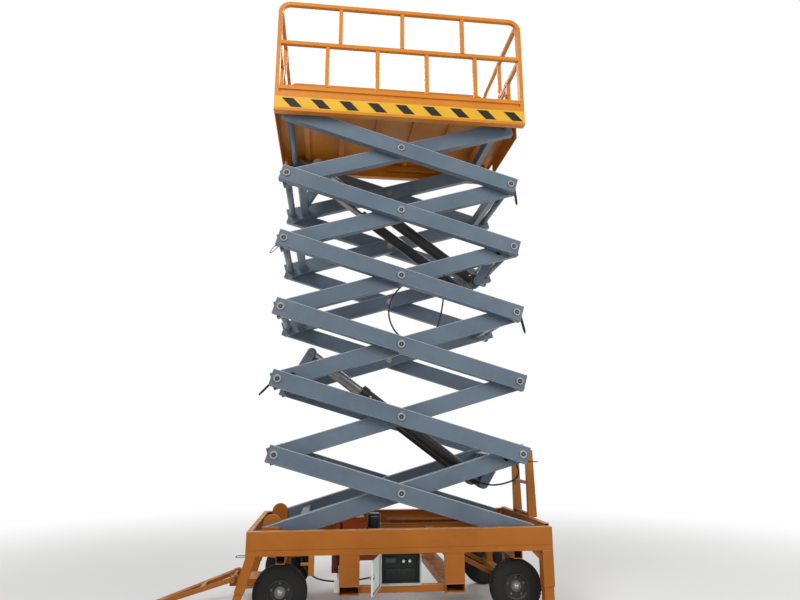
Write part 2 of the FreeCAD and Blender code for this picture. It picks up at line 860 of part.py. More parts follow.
def control_box():
    """The control box under the near rail, open in front, with its recessed panel."""
    x = (box_left, box_left + box_width)
    y = (-box_front, -box_front + box_depth)
    z = (box_floor, box_floor + box_height)
    shell = block(x, y, z)
    inside = block((x[0] + box_wall, x[1] - box_wall), (y[0], y[1] - box_wall),
                   (z[0] + box_wall, z[1] - box_wall))
    face = y[0] + panel_recess
    shapes = [shell.cut(inside), block(x, (face, face + panel_thickness), z)]
    # Blank devices on the panel: left edge, floor, width, height and depth
    for left, floor, width, height, depth in ((30, 165, 110, 55, 14), (185, 175, 26, 26, 24),
                                              (240, 175, 26, 26, 24), (40, 45, 270, 80, 12)):
        shapes.append(block((x[0] + left, x[0] + left + width), (face - depth, face),
                            (z[0] + floor, z[0] + floor + height)))
    return fused(shapes + door_hinge_pins())


def door_hinge_floors():
    """The heights of the undersides of the door's two hinge tubes."""
    return (box_floor + door_hinge_inset, box_floor + box_height - door_hinge_inset - door_hinge_height)


def door_hinge_pins():
    """The door's hinge pins, each on a tab of the box's side."""
    shapes = []
    for z in door_hinge_floors():
        top = z - face_clearance
        floor = top - door_tab_thickness
        shapes.append(block((door_hinge_x - door_hinge_pin, box_left),
                            (door_hinge_y - door_hinge_pin, door_tab_depth - box_front), (floor, top)))
        shapes.append(Part.makeCylinder(door_hinge_pin, door_tab_thickness + door_hinge_height,
                                        V(door_hinge_x, door_hinge_y, floor)))
    return shapes


def control_box_door():
    """The control box's door on its two hinge tubes, swung open past square."""
    wall = box_wall
    x = (door_leaf_start, box_width + door_hinge_radius)
    y = (door_back - door_thickness, door_back)
    leaf = block(x, y, (box_floor, box_floor + box_height))
    tray = block((x[0] + wall, x[1] - wall), (y[0] + wall, y[1]),
                 (box_floor + wall, box_floor + box_height - wall))
    shapes = [leaf.cut(tray)]
    bores = []
    for z in door_hinge_floors():
        shapes.append(Part.makeCylinder(door_hinge_radius, door_hinge_height, V(0, 0, z)))
        shapes.append(block((0, x[0] + wall), (-door_hinge_radius, 0), (z, z + door_hinge_height)))
        bores.append(Part.makeCylinder(door_hinge_pin + running_clearance, door_hinge_height,
                                       V(0, 0, z)))
    door = fused(shapes).cut(bores)
    door.rotate(V(0, 0, 0), V(0, 0, 1), -door_open_angle)
    door.translate(V(door_hinge_x, door_hinge_y, 0))
    return door


def power_unit():
    """The hydraulic unit on the middle of the chassis: tray, tank, upright motor and pump block."""
    reach = max(pocket_place + beam_width / 4, -tank_left)
    floor = beam_top + tray_thickness
    tank_right = tank_left + tank_length
    x = tank_right + motor_gap + motor_radius
    half = pump_width / 2
    tray = block((-reach, reach), (-tray_half_width, tray_half_width), (beam_top, floor))
    tank = block((tank_left, tank_right), (-tank_width / 2, tank_width / 2), (floor, floor + tank_height))
    pump = block((tank_right, x + half), (-half, half), (floor, floor + motor_rise - motor_length))
    plate = bar(V(x, 0, floor + motor_rise - motor_length),
                V(x, 0, floor + motor_rise - motor_length + flange_length), motor_radius)
    motor = bar(V(x, 0, floor + motor_rise - motor_length), V(x, 0, floor + motor_rise), flange_radius)
    return fused([tray, tank, pump, plate, motor])


def boarding_ladder():
    """Two tapered stringers on the end beam with rungs between."""
    x = ladder_left
    y0 = ladder_half_width - ladder_thickness
    stringer = side_plate([(x, end_beam_top), (x + ladder_base_width, end_beam_top),
                           (x + ladder_top_width, ladder_top), (x, ladder_top)],
                          y0, ladder_half_width)
    rungs = []
    pitch = (ladder_top - end_beam_top - rung_size) / (rung_count - 1)
    for k in range(rung_count):
        z = end_beam_top + k * pitch
        rungs.append(block((x + rung_inset, x + rung_inset + rung_size), (-y0, y0),
                           (z, z + rung_size)))
    return fused([stringer, mirrored(stringer)] + rungs)


def platform_sides():
    """The platform's side channels with the brackets of the top pivots."""
    half = platform_length / 2
    face = platform_width / 2
    top = top_pivot_height + deck_height - deck_thickness
    bottom = top - platform_edge_height
    inside = face - flange_width
    x = (-half, half)
    channel = block(x, (inside, face), (bottom, top))
    hollow = block(x, (inside, face - channel_wall), (bottom + channel_wall, top - channel_wall))
    ledge_floor = top_pivot_height + roller_radius + face_clearance
    ledge = block((0, half - platform_ledge_inset), (inside, face - channel_wall),
                  (ledge_floor, ledge_floor + ledge_thickness))
    bracket_x = (-half_span - bracket_half, -half_span + bracket_half)
    bracket = block(bracket_x, (bracket_face, bracket_face + bracket_thickness),
                    (top_pivot_height - bracket_drop, top))
    hole = cross_bar(-half_span, top_pivot_height, bracket_face, bracket_face + bracket_thickness,
                     stub_pin_radius + running_clearance)
    seat = block(bracket_x, (bracket_face + bracket_thickness, inside), (top - joist_height, top))
    return pair(fused([channel.cut(hollow), ledge, bracket.cut(hole), seat]))


def platform_joists():
    """The joists under the deck and the two end beams, between the side channels."""
    half = platform_length / 2
    inside = platform_width / 2 - flange_width
    top = top_pivot_height + deck_height - deck_thickness
    y = (-inside, inside)
    joists = []
    for k in range(joist_count):
        x = -joist_reach + 2 * joist_reach * k / (joist_count - 1)
        joists.append(box_tube((x - joist_width / 2, x + joist_width / 2), y,
                               (top - joist_height, top), joist_wall, 1))
    left = (-half, end_plate_thickness - half)
    right = (half - end_plate_thickness, half)
    joists.append(block(left, y, (top - platform_edge_height, top)))
    between_arms = (arm_gap - inner_face, inner_face - arm_gap)
    joists.append(fused([block(right, y, (top - joist_height, top)),
                         block(right, between_arms, (top - platform_edge_height, top))]))
    return joists


def platform_deck():
    """The deck plate."""
    half = platform_length / 2
    face = platform_width / 2
    top = top_pivot_height + deck_height
    return block((-half, half), (-face, face), (top - deck_thickness, top))


def guard_levels():
    """The heights of the middles of the low, middle and top guard rails."""
    deck = top_pivot_height + deck_height
    return deck + guard_low, deck + guard_mid, top_pivot_height + guard_height - guard_tube / 2


def guard_panels():
    """The guard panels: turn about Z, middle, half length, low posts and high posts."""
    side_reach = (platform_length - guard_tube) / 2
    end_reach = (platform_width - guard_tube) / 2 - guard_tube - guard_gap
    side_y = (platform_width - guard_tube) / 2
    gate_post = (gate_width + guard_tube) / 2
    side_low = [share * platform_length for share in (-0.3, -0.1, 0.1, 0.3)]
    side_high = [share * platform_length for share in (-0.25, 0, 0.25)]
    end_low = (-gate_post, gate_post)
    return [(0, V(0, side_y, 0), side_reach, side_low, side_high),
            (0, V(0, -side_y, 0), side_reach, side_low, side_high),
            (90, V(-side_reach, 0, 0), end_reach, end_low, (0,)),
            (90, V(side_reach, 0, 0), end_reach, end_low, (0,))]


def set_in_guard(shape, turn, middle):
    """Turns a piece of a guard panel, made along X, and moves it to its side."""
    placed = shape.copy()
    placed.rotate(V(0, 0, 0), V(0, 0, 1), turn)
    placed.translate(middle)
    return placed


def guard_rails():
    """The level tubes of the guard panels, with a toe board under the low ones."""
    half = guard_tube / 2
    y = (-half, half)
    deck = top_pivot_height + deck_height
    low, mid, top = guard_levels()
    toe_y = (-toe_thickness / 2, toe_thickness / 2)
    solids = []
    for turn, middle, reach, low_posts, _ in guard_panels():
        x = (half - reach, reach - half)
        spans = [x]
        if turn and middle.x > 0:
            spans = [(x[0], low_posts[0] - half), (low_posts[1] + half, x[1])]
        rails = [block(span, y, (low - half, low + half)).fuse(block(span, toe_y, (deck, low - half)))
                 for span in spans]
        rails.append(block(x, y, (mid - half, mid + half)))
        rails.append(block((guard_corner - reach, reach - guard_corner), y, (top - half, top + half)))
        solids += [set_in_guard(solid, turn, middle) for solid in rails]
    return solids


def corner_post(reach, side):
    """An end post of a guard panel, with the quarter bend into the top rail."""
    half = guard_tube / 2
    deck = top_pivot_height + deck_height
    z = guard_levels()[2] - guard_corner
    x = side * (reach - guard_corner)
    r0 = side * (guard_corner - half)
    r1 = side * (guard_corner + half)
    section = [V(x + r0, -half, z), V(x + r1, -half, z), V(x + r1, half, z), V(x + r0, half, z)]
    outline = Part.makePolygon(section + section[:1])
    bend = Part.Face(outline).revolve(V(x, 0, z), V(0, -side, 0), 90)
    post = block(sorted((x + r0, x + r1)), (-half, half), (deck, z))
    return fused([post, bend])


def guard_posts():
    """The upright tubes of the guard panels. One post carries the gate's hinge pins."""
    half = guard_tube / 2
    y = (-half, half)
    deck = top_pivot_height + deck_height
    low, mid, top = guard_levels()
    solids = []
    for turn, middle, reach, low_posts, high_posts in guard_panels():
        gate_end = turn and middle.x > 0
        foot = deck if gate_end else low + half
        posts = [corner_post(reach, side) for side in (1, -1)]
        posts += [block((x - half, x + half), y, (foot, mid - half)) for x in low_posts]
        posts += [block((x - half, x + half), y, (mid + half, top - half)) for x in high_posts]
        posts = [set_in_guard(solid, turn, middle) for solid in posts]
        if gate_end:
            posts[2] = fused([posts[2]] + gate_hinge_pins())
        solids += posts
    return solids


def gate_hinge_floors():
    """The heights of the undersides of the gate's two hinge tubes."""
    deck = top_pivot_height + deck_height
    return [deck + rise for rise in gate_hinge_rises]


def gate_hinge_pins():
    """The gate's hinge pins, each on a tab of its post."""
    shapes = []
    for z in gate_hinge_floors():
        r = gate_hinge_radius
        top = z - face_clearance
        floor = top - gate_tab_thickness
        shapes.append(block((gate_hinge_x - r, gate_hinge_x + r + 2),
                            (gate_hinge_y - 2 * r, gate_hinge_y + r), (floor, top)))
        shapes.append(Part.makeCylinder(gate_hinge_pin, gate_tab_thickness + gate_hinge_height,
                                        V(gate_hinge_x, gate_hinge_y, floor)))
    return shapes


def platform_gate():
    """The gate in the right-hand guard panel."""
    half = guard_tube / 2
    x = platform_length / 2 - half
    deck = top_pivot_height + deck_height
    reach = gate_width / 2 - gate_gap
    tube = gate_tube
    z = (deck + gate_floor_gap, guard_levels()[1] - half - gate_gap)
    span_x = (x - tube / 2, x + tube / 2)
    frame = block(span_x, (-reach, reach), z)
    hole = block((x - guard_tube, x + guard_tube), (tube - reach, reach - tube),
                 (z[0] + tube, z[1] - tube))
    middle = (z[0] + z[1]) / 2
    bar_mid = block(span_x, (-reach, reach), (middle - tube / 2, middle + tube / 2))
    shapes = [frame.cut(hole), bar_mid]
    bores = []
    for z in gate_hinge_floors():
        place = V(gate_hinge_x, gate_hinge_y, z)
        shapes.append(Part.makeCylinder(gate_hinge_radius, gate_hinge_height, place))
        shapes.append(block((gate_hinge_x, x), (gate_hinge_y + gate_gap, gate_hinge_y + tube),
                            (z, z + gate_hinge_height)))
        shapes.append(block((gate_hinge_x, gate_hinge_x + gate_hinge_radius),
                            (gate_hinge_y, gate_hinge_y + gate_gap), (z, z + gate_hinge_height)))
        bores.append(Part.makeCylinder(gate_hinge_pin + running_clearance, gate_hinge_height, place))
    return fused(shapes).cut(bores)


def hose(points):
    """A hose along straight runs with a tangent arc at each turn."""
    edges = []
    last = points[0]
    for before, corner, after in zip(points, points[1:], points[2:]):
        run_in = corner - before
        run_out = after - corner
        half_turn = run_in.getAngle(run_out) / 2
        radius = 0.45 * min(run_in.Length, run_out.Length) / math.tan(half_turn)
        start = corner - run_in.normalize() * radius * math.tan(half_turn)
        end = corner + run_out.normalize() * radius * math.tan(half_turn)
        inward = (run_out - run_in).normalize()
        middle = corner + inward * (radius / math.cos(half_turn) - radius)
        print("hose bend radius %.0f" % radius)
        edges.append(Part.makeLine(last, start))
        edges.append(Part.Arc(start, middle, end).toShape())
        last = end
    edges.append(Part.makeLine(last, points[-1]))
    section = Part.Wire(Part.makeCircle(hose_radius, points[0], points[1] - points[0]))
    return Part.Wire(edges).makePipeShell([section], True, True)


def base_hose():
    """The hose loop from the first joint on the right to the lower near cylinder."""
    y = hose_radius + face_clearance - inner_face
    return hose([V(1085, y, 1350), V(1170, y, 1265), V(1145, -478, 1160), V(1040, -470, 1120),
                 V(935, -462, 1100), V(850, -455, 1104), V(793, -425, 1122), V(765, -375, 1143),
                 V(762, -310.3, 1160)])


def stack_hose():
    """The hose that hangs in a loop below the near inner arm of the fourth stage."""
    y = hose_radius + face_clearance - inner_face
    return hose([V(95, y, 3090), V(20, y, 3030), V(-62, y, 2930), V(-108, y, 2800), V(-98, y, 2670),
                 V(-30, y, 2545), V(90, y, 2455), V(225, y, 2440), V(335, y, 2515), V(395, y, 2640),
                 V(430, y, 2780), V(452, y, 2920), V(462, y, 3060), V(470, y, 3190)])


def write(name, shapes):
    """Moves a node to the machine's own origin and writes its file."""
    if not isinstance(shapes, list):
        shapes = [shapes]
    node = Part.makeCompound([shape.copy() for shape in shapes])
    node.translate(-origin)
    node.exportStep("parts/" + name + ".step")


def main():
    os.makedirs("parts", exist_ok=True)
    for stage in range(1, stages + 1):
        write("inner_arms_%d" % stage, inner_arms(stage))
        write("inner_ties_%d" % stage, inner_ties(stage))
        write("outer_arms_%d" % stage, outer_arms(stage))
        write("outer_pins_%d" % stage, outer_pins(stage))
    for name, stage in zip(("lower", "upper"), barrel_stages):
        write(name + "_barrels", cylinder_parts(barrel, stage))
        write(name + "_rods", cylinder_parts(rod, stage))
    write("chassis_rails", pair(rail()))
    write("cross_beams", cross_beams())
    write("base_brackets", base_brackets())
    write("rail_posts", rail_posts())
    write("fork_pockets", fork_pockets())
    write("rear_axle", rear_axle())
    write("front_axle", front_axle())
    write("drawbar", drawbar())
    for end_name, x_end in (("rear", 1), ("front", -1)):
        for side_name, far in (("near", False), ("far", True)):
            place = end_name + "_" + side_name
            write("jack_leg_" + place, jack_leg(x_end, far))
            write("tyre_" + place, tyre(x_end * wheel_place, far))
            write("rim_" + place, rim(x_end * wheel_place, far))
    write("control_box", control_box())
    write("control_box_door", control_box_door())
    write("power_unit", power_unit())
    write("boarding_ladder", boarding_ladder())
    write("platform_sides", platform_sides())
    write("platform_joists", platform_joists())
    write("platform_deck", platform_deck())
    write("guard_rails", guard_rails())
    write("guard_posts", guard_posts())
    write("platform_gate", platform_gate())
    write("base_hose", base_hose())
    write("stack_hose", stack_hose())


main()
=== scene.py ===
import json
import math
import random

import bmesh
import bpy
from mathutils import Matrix, Vector


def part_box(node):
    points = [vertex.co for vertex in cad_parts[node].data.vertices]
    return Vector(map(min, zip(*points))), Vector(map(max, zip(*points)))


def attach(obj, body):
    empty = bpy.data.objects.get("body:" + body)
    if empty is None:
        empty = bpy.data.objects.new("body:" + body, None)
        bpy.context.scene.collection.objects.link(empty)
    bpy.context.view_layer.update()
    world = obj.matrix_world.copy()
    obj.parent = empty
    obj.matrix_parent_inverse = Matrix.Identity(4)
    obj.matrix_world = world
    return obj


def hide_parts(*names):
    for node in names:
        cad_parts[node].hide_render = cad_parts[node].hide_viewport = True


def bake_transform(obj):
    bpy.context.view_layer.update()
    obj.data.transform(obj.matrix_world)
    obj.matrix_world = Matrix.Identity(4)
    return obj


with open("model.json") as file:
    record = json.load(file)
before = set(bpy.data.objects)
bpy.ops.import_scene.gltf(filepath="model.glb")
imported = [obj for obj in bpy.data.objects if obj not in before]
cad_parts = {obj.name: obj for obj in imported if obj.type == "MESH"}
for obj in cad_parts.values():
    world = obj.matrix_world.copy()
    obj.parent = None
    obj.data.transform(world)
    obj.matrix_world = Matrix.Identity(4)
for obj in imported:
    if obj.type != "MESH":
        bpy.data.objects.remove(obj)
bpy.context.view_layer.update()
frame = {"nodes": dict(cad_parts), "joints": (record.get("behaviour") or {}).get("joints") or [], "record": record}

nodes = frame["nodes"]
joint_at = {joint["name"]: Vector(joint["pos_m"]) for joint in frame["joints"] if "pos_m" in joint}
joint_axis = {joint["name"]: Vector(joint["axis"]) for joint in frame["joints"] if "axis" in joint}

# The stack of scissor stages, in metres
STAGES = 6
LEAN = math.radians(16.5)
ARM_REACH = 1.2
ARM_HALF_HEIGHT = 0.08
OUTER_FACE = 0.66
INNER_FACE = 0.49
ARM_WIDTH = 0.08
TIE_HALF = 0.04
TIE_REACH = 1.06
LOWEST_LEFT_TIE_REACH = 0.9
MIDDLE = Vector((joint_at["outer_1_turn"].x, joint_at["outer_1_turn"].y, 0.0))
FIRST_CENTRE = joint_at["outer_1_turn"].z
STAGE_RISE = 2 * ARM_REACH * math.sin(LEAN)
PIN_CAP_HEIGHT = 0.009

# The chassis, in metres
RAIL_BOTTOM = 0.56
BEAM_TOP = 0.585
BOX_WIDTH = 0.35
BOX_HEIGHT = 0.26
PANEL_RECESS = 0.07
DOOR_OPEN = 106.0

# The lift cylinders and hoses, in metres
CYLINDER_SIDE = 0.25
GLAND_END = 1.5
PORT_PLACE = 0.107
ROD_EYE_WIDTH = 0.08
ROD_EYE_ALONG = 0.831
ROD_EYE_RISE = 0.202
HOSE_DIAMETER = 0.016


# Node groups
def fill(tree, node, inputs):
    """Sets values on a node's sockets, or links other sockets to them."""
    for name, value in inputs.items():
        if isinstance(value, bpy.types.NodeSocket):
            tree.links.new(value, node.inputs[name])
        else:
            node.inputs[name].default_value = value
    return node


def new_group(name, inputs, outputs):
    """A shader node group, the sockets of its start and its end node."""
    group = bpy.data.node_groups.new(name, "ShaderNodeTree")
    for socket, value in inputs.items():
        made = group.interface.new_socket(socket, in_out="INPUT", socket_type="NodeSocketFloat")
        made.default_value = value
    for socket in outputs:
        kind = "NodeSocketVector" if socket == "Normal" else "NodeSocketFloat"
        group.interface.new_socket(socket, in_out="OUTPUT", socket_type=kind)
    return group, group.nodes.new("NodeGroupInput").outputs, group.nodes.new("NodeGroupOutput")


def math_node(tree, operation, first, second, clamp=False):
    """A math node of two numbers or sockets."""
    node = tree.nodes.new("ShaderNodeMath")
    node.operation = operation
    node.use_clamp = clamp
    return fill(tree, node, {0: first, 1: second}).outputs[0]


def product(tree, first, second, clamp=False):
    return math_node(tree, "MULTIPLY", first, second, clamp)


def noise_node(tree, vector, scale, detail, roughness=0.55):
    node = tree.nodes.new("ShaderNodeTexNoise")
    fill(tree, node, {"Vector": vector, "Scale": scale, "Detail": detail, "Roughness": roughness})
    return node.outputs["Fac"]


def step_node(tree, value, low, high):
    """Maps low to high onto 0 to 1, smoothly."""
    node = tree.nodes.new("ShaderNodeMapRange")
    node.interpolation_type = "SMOOTHSTEP"
    return fill(tree, node, {"Value": value, "From Min": low, "From Max": high}).outputs["Result"]


def object_coordinates(tree, **changes):
    """The object's own coordinates, stretched by a Scale or turned by a Rotation where one is given."""
    place = tree.nodes.new("ShaderNodeTexCoord").outputs["Object"]
    if not changes:
        return place
    return fill(tree, tree.nodes.new("ShaderNodeMapping"), {"Vector": place, **changes}).outputs["Vector"]


def surface_normal(tree):
    return tree.nodes.new("ShaderNodeNewGeometry").outputs["Normal"]


def upward(tree, normal):
    """How far a normal points up, from -1 to 1."""
    return fill(tree, tree.nodes.new("ShaderNodeSeparateXYZ"), {"Vector": normal}).outputs["Z"]


def edge_wear_and_highlight_group():
    """Masks of chipped paint and of the upper edges, where a painted highlight goes, and the rounded normal of the
    edges.
    """
    group, start, end = new_group("edge_wear_and_highlight", {"Radius": 0.003, "Amount": 0.5},
                                  ("Mask", "UpperHighlight", "Normal"))
    bevel = fill(group, group.nodes.new("ShaderNodeBevel"), {"Radius": start["Radius"]})
    bevel.samples = 6
    rounded = bevel.outputs["Normal"]
    flat = surface_normal(group)
    dot = group.nodes.new("ShaderNodeVectorMath")
    dot.operation = "DOT_PRODUCT"
    fill(group, dot, {0: rounded, 1: flat})
    sharp = step_node(group, math_node(group, "SUBTRACT", 1.0, dot.outputs["Value"]), 0.02, 0.16)
    place = object_coordinates(group)
    chips = product(group, noise_node(group, place, 55.0, 6.0, 0.7), noise_node(group, place, 3.1, 3.0))
    limit = math_node(group, "SUBTRACT", 0.52, product(group, start["Amount"], 0.34))
    chipped = product(group, math_node(group, "SUBTRACT", chips, limit), 14.0, clamp=True)
    height = upward(group, flat)
    # The upper-edge mask follows where the rounded normal points higher than the face, on faces that don't look
    # down; it carries a painted highlight of light from above.
    rise = step_node(group, math_node(group, "SUBTRACT", upward(group, rounded), height), 0.1, 0.45)
    fill(group, end, {"Mask": product(group, chipped, sharp),
                      "UpperHighlight": product(group, rise, step_node(group, height, -0.6, -0.2)),
                      "Normal": rounded})
    return group


def clouding_group():
    """Slow changes of tone over a painted surface, and fine scuffs, both 0 to 1."""
    group, start, end = new_group("clouding", {"Scale": 2.0}, ("Tone", "Scuff"))
    place = object_coordinates(group)
    tone = noise_node(group, place, start["Scale"], 5.0, 0.6)
    scratch = noise_node(group, object_coordinates(group, Scale=(6.0, 60.0, 90.0)), 1.0, 3.0, 0.5)
    patch = noise_node(group, place, 4.0, 2.0)
    fill(group, end, {"Tone": step_node(group, tone, 0.3, 0.7),
                      "Scuff": product(group, step_node(group, scratch, 0.6, 0.72),
                                       step_node(group, patch, 0.48, 0.66))})
    return group


def upward_dust_and_highlight_group():
    """A patchy mask of what faces up: settled dust, thinner where it was wiped, and on the pin rims a painted
    highlight.
    """
    group, start, end = new_group("upward_dust_and_highlight", {"Amount": 0.5}, ("Mask",))
    up = step_node(group, upward(group, surface_normal(group)), 0.3, 0.95)
    patch = step_node(group, noise_node(group, object_coordinates(group), 7.0, 6.0, 0.65), 0.35, 0.75)
    fill(group, end, {"Mask": product(group, product(group, up, patch), start["Amount"], clamp=True)})
    return group


def paint_skin_group():
    """The height of a sprayed coat: fine orange peel and slow waves."""
    group, start, end = new_group("paint_skin", {"Scale": 420.0}, ("Height",))
    place = object_coordinates(group)
    peel = noise_node(group, place, start["Scale"], 2.0, 0.5)
    wave = noise_node(group, place, 9.0, 2.0, 0.5)
    fill(group, end, {"Height": math_node(group, "ADD", product(group, peel, 0.35), wave)})
    return group


def turned_metal_group():
    """The fine lines and stains of machined steel."""
    group, start, end = new_group("turned_metal", {"Scale": 300.0}, ("Lines", "Stain"))
    lines = noise_node(group, object_coordinates(group, Scale=(1.0, 0.05, 1.0)), start["Scale"], 2.0, 0.5)
    stain = noise_node(group, object_coordinates(group), 24.0, 5.0, 0.65)
    fill(group, end, {"Lines": lines, "Stain": step_node(group, stain, 0.42, 0.78)})
    return group


edge_wear_and_highlight = edge_wear_and_highlight_group()
clouding = clouding_group()
upward_dust_and_highlight = upward_dust_and_highlight_group()
paint_skin = paint_skin_group()
turned_metal = turned_metal_group()


# Materials
finish = {}


def new_material(name):
    """A material, kept in finish under its name, with its node tree and its Principled shader."""
    material = bpy.data.materials.new(name)
    finish[name] = material
    material.use_nodes = True
    tree = material.node_tree
    return material, tree, tree.nodes["Principled BSDF"]


def placed_group(tree, group, **values):
    """A shared node group in a material, and its outputs."""
    node = tree.nodes.new("ShaderNodeGroup")
    node.node_tree = group
    return fill(tree, node, values).outputs


def mixed(tree, mask, first, second):
    """A colour mix by a mask. Colours are tuples or sockets."""
    node = tree.nodes.new("ShaderNodeMix")
    node.data_type = "RGBA"
    ends = [(*colour, 1.0) if isinstance(colour, tuple) else colour for colour in (first, second)]
    return fill(tree, node, {"Factor": mask, 6: ends[0], 7: ends[1]}).outputs[2]


def blended(tree, mask, first, second):
    """A number mix by a mask."""
    node = tree.nodes.new("ShaderNodeMix")
    return fill(tree, node, {"Factor": mask, 2: first, 3: second}).outputs[0]


def bumped(tree, shader, height, strength, distance, **normal):
    """Feeds the shader's normal from a height, over a Normal where one is given."""
    bump = tree.nodes.new("ShaderNodeBump")
    fill(tree, bump, {"Height": height, "Strength": strength, "Distance": distance, **normal})
    fill(tree, shader, {"Normal": bump.outputs["Normal"]})


STEEL = (0.33, 0.32, 0.3)
DUST = (0.46, 0.43, 0.38)
DUSTY_ROUGHNESS = 0.85


def painted(name, light, dark, rough, chips, dust, bare=STEEL, edge=0.003, edge_highlight=0.4, upward_tone=DUST):
    """A sprayed finish of two tones with chipped edges, a painted highlight along the upper edges and scuffs.

    What faces up, in patches, takes a tone given for it: dust by default, a paler tone of the paint itself
    on the chassis and the arms, and a painted highlight on the pin rims."""
    material, tree, shader = new_material(name)
    edge_masks = placed_group(tree, edge_wear_and_highlight, Radius=edge, Amount=chips)
    tones = placed_group(tree, clouding, Scale=1.7)
    upward_mask = placed_group(tree, upward_dust_and_highlight, Amount=dust)["Mask"]
    pale = tuple(0.65 * c + 0.2 for c in light)
    # The pale tone along the upper edges is a painted highlight of light from above, not wear.
    highlight_tone = tuple(0.5 * c + 0.45 for c in light)
    colour = mixed(tree, tones["Tone"], light, dark)
    colour = mixed(tree, product(tree, tones["Scuff"], 0.22), colour, pale)
    colour = mixed(tree, product(tree, edge_masks["UpperHighlight"], edge_highlight), colour, highlight_tone)
    colour = mixed(tree, edge_masks["Mask"], colour, bare)
    clean = blended(tree, tones["Tone"], rough, rough + 0.1)
    # What faces up takes the given tone here: dust, a paler tone of the paint itself, and on the pin rims a
    # painted highlight.
    fill(tree, shader, {"Base Color": mixed(tree, upward_mask, colour, upward_tone),
                        "Roughness": blended(tree, upward_mask, clean, DUSTY_ROUGHNESS),
                        "Metallic": product(tree, edge_masks["Mask"], 0.7),
                        "Specular IOR Level": 0.28})
    skin = placed_group(tree, paint_skin)
    bumped(tree, shader, skin["Height"], 0.12, 0.0008, Normal=edge_masks["Normal"])
    return material


def bare_metal(name, light, dark, rough, edge=0.0015):
    """Machined or plated steel with fine lines and stains."""
    material, tree, shader = new_material(name)
    edge_masks = placed_group(tree, edge_wear_and_highlight, Radius=edge, Amount=0.2)
    metal = placed_group(tree, turned_metal)
    fill(tree, shader, {"Base Color": mixed(tree, metal["Stain"], light, dark), "Metallic": 1.0,
                        "Roughness": blended(tree, metal["Stain"], rough, rough + 0.2)})
    bumped(tree, shader, metal["Lines"], 0.15, 0.0004, Normal=edge_masks["Normal"])
    return material


def chrome_rod_material():
    """Hard chrome, wiped by the seals, with a thin film of oil."""
    material, tree, shader = new_material("chrome_rod")
    metal = placed_group(tree, turned_metal, Scale=120.0)
    chrome = mixed(tree, metal["Stain"], (0.3, 0.3, 0.31), (0.25, 0.24, 0.23))
    fill(tree, shader, {"Base Color": chrome, "Metallic": 1.0,
                        "Roughness": blended(tree, metal["Stain"], 0.28, 0.38)})
    bumped(tree, shader, metal["Lines"], 0.02, 0.0001)
    return material


def rubber_material(name, light, dark, rough):
    """Black rubber, greyed by dust where it faces up and on its tread."""
    material, tree, shader = new_material(name)
    tone = placed_group(tree, clouding, Scale=9.0)["Tone"]
    upward_mask = placed_group(tree, upward_dust_and_highlight, Amount=0.5)["Mask"]
    colour = mixed(tree, upward_mask, mixed(tree, tone, dark, light), (0.2, 0.18, 0.15))
    fill(tree, shader, {"Base Color": colour, "Roughness": blended(tree, tone, rough, rough + 0.15),
                        "Specular IOR Level": 0.25})
    bumped(tree, shader, placed_group(tree, paint_skin, Scale=700.0)["Height"], 0.3, 0.0006)
    return material


def plastic_material(name, light, dark, rough):
    """Moulded plastic or a plain coat with a fine grain."""
    material, tree, shader = new_material(name)
    tone = placed_group(tree, clouding, Scale=11.0)["Tone"]
    fill(tree, shader, {"Base Color": mixed(tree, tone, light, dark),
                        "Roughness": blended(tree, tone, rough, rough + 0.12),
                        "Specular IOR Level": 0.3})
    bumped(tree, shader, placed_group(tree, paint_skin, Scale=900.0)["Height"], 0.2, 0.0003)
    return material


def deck_material():
    """Painted sheet below, and worn raised-pattern plate where it faces up."""
    material, tree, shader = new_material("deck_plate")
    edge_masks = placed_group(tree, edge_wear_and_highlight, Radius=0.002, Amount=0.6)
    tone = placed_group(tree, clouding, Scale=2.2)["Tone"]
    upward_mask = placed_group(tree, upward_dust_and_highlight, Amount=0.7)["Mask"]
    pattern = fill(tree, tree.nodes.new("ShaderNodeTexBrick"), {
        "Vector": object_coordinates(tree, Rotation=(0.0, 0.0, math.radians(45))), "Scale": 11.0,
        "Mortar Size": 0.115, "Mortar Smooth": 0.4, "Brick Width": 0.52, "Row Height": 0.26})
    raised = math_node(tree, "SUBTRACT", 1.0, pattern.outputs["Fac"])
    height = product(tree, raised, step_node(tree, upward(tree, surface_normal(tree)), 0.5, 0.9))
    worn = product(tree, height, step_node(tree, tone, 0.1, 0.9))
    colour = mixed(tree, tone, (0.74, 0.27, 0.03), (0.6, 0.2, 0.022))
    colour = mixed(tree, worn, colour, (0.36, 0.34, 0.31))
    fill(tree, shader, {"Base Color": mixed(tree, upward_mask, colour, DUST),
                        "Metallic": product(tree, worn, 0.8),
                        "Roughness": blended(tree, upward_mask, 0.42, 0.8)})
    bumped(tree, shader, height, 0.8, 0.002, Normal=edge_masks["Normal"])
    return material


# The chassis tones are much darker than the platform's orange: partly the paint's own colour and partly painted
# shade, for the shadow the chassis stands in below the platform. The orange weld seams share them.
CHASSIS_LIGHT = (0.41, 0.13, 0.01)
CHASSIS_DARK = (0.34, 0.102, 0.008)
ARM_LIGHT = (0.132, 0.174, 0.222)
ARM_DARK = (0.1, 0.134, 0.175)

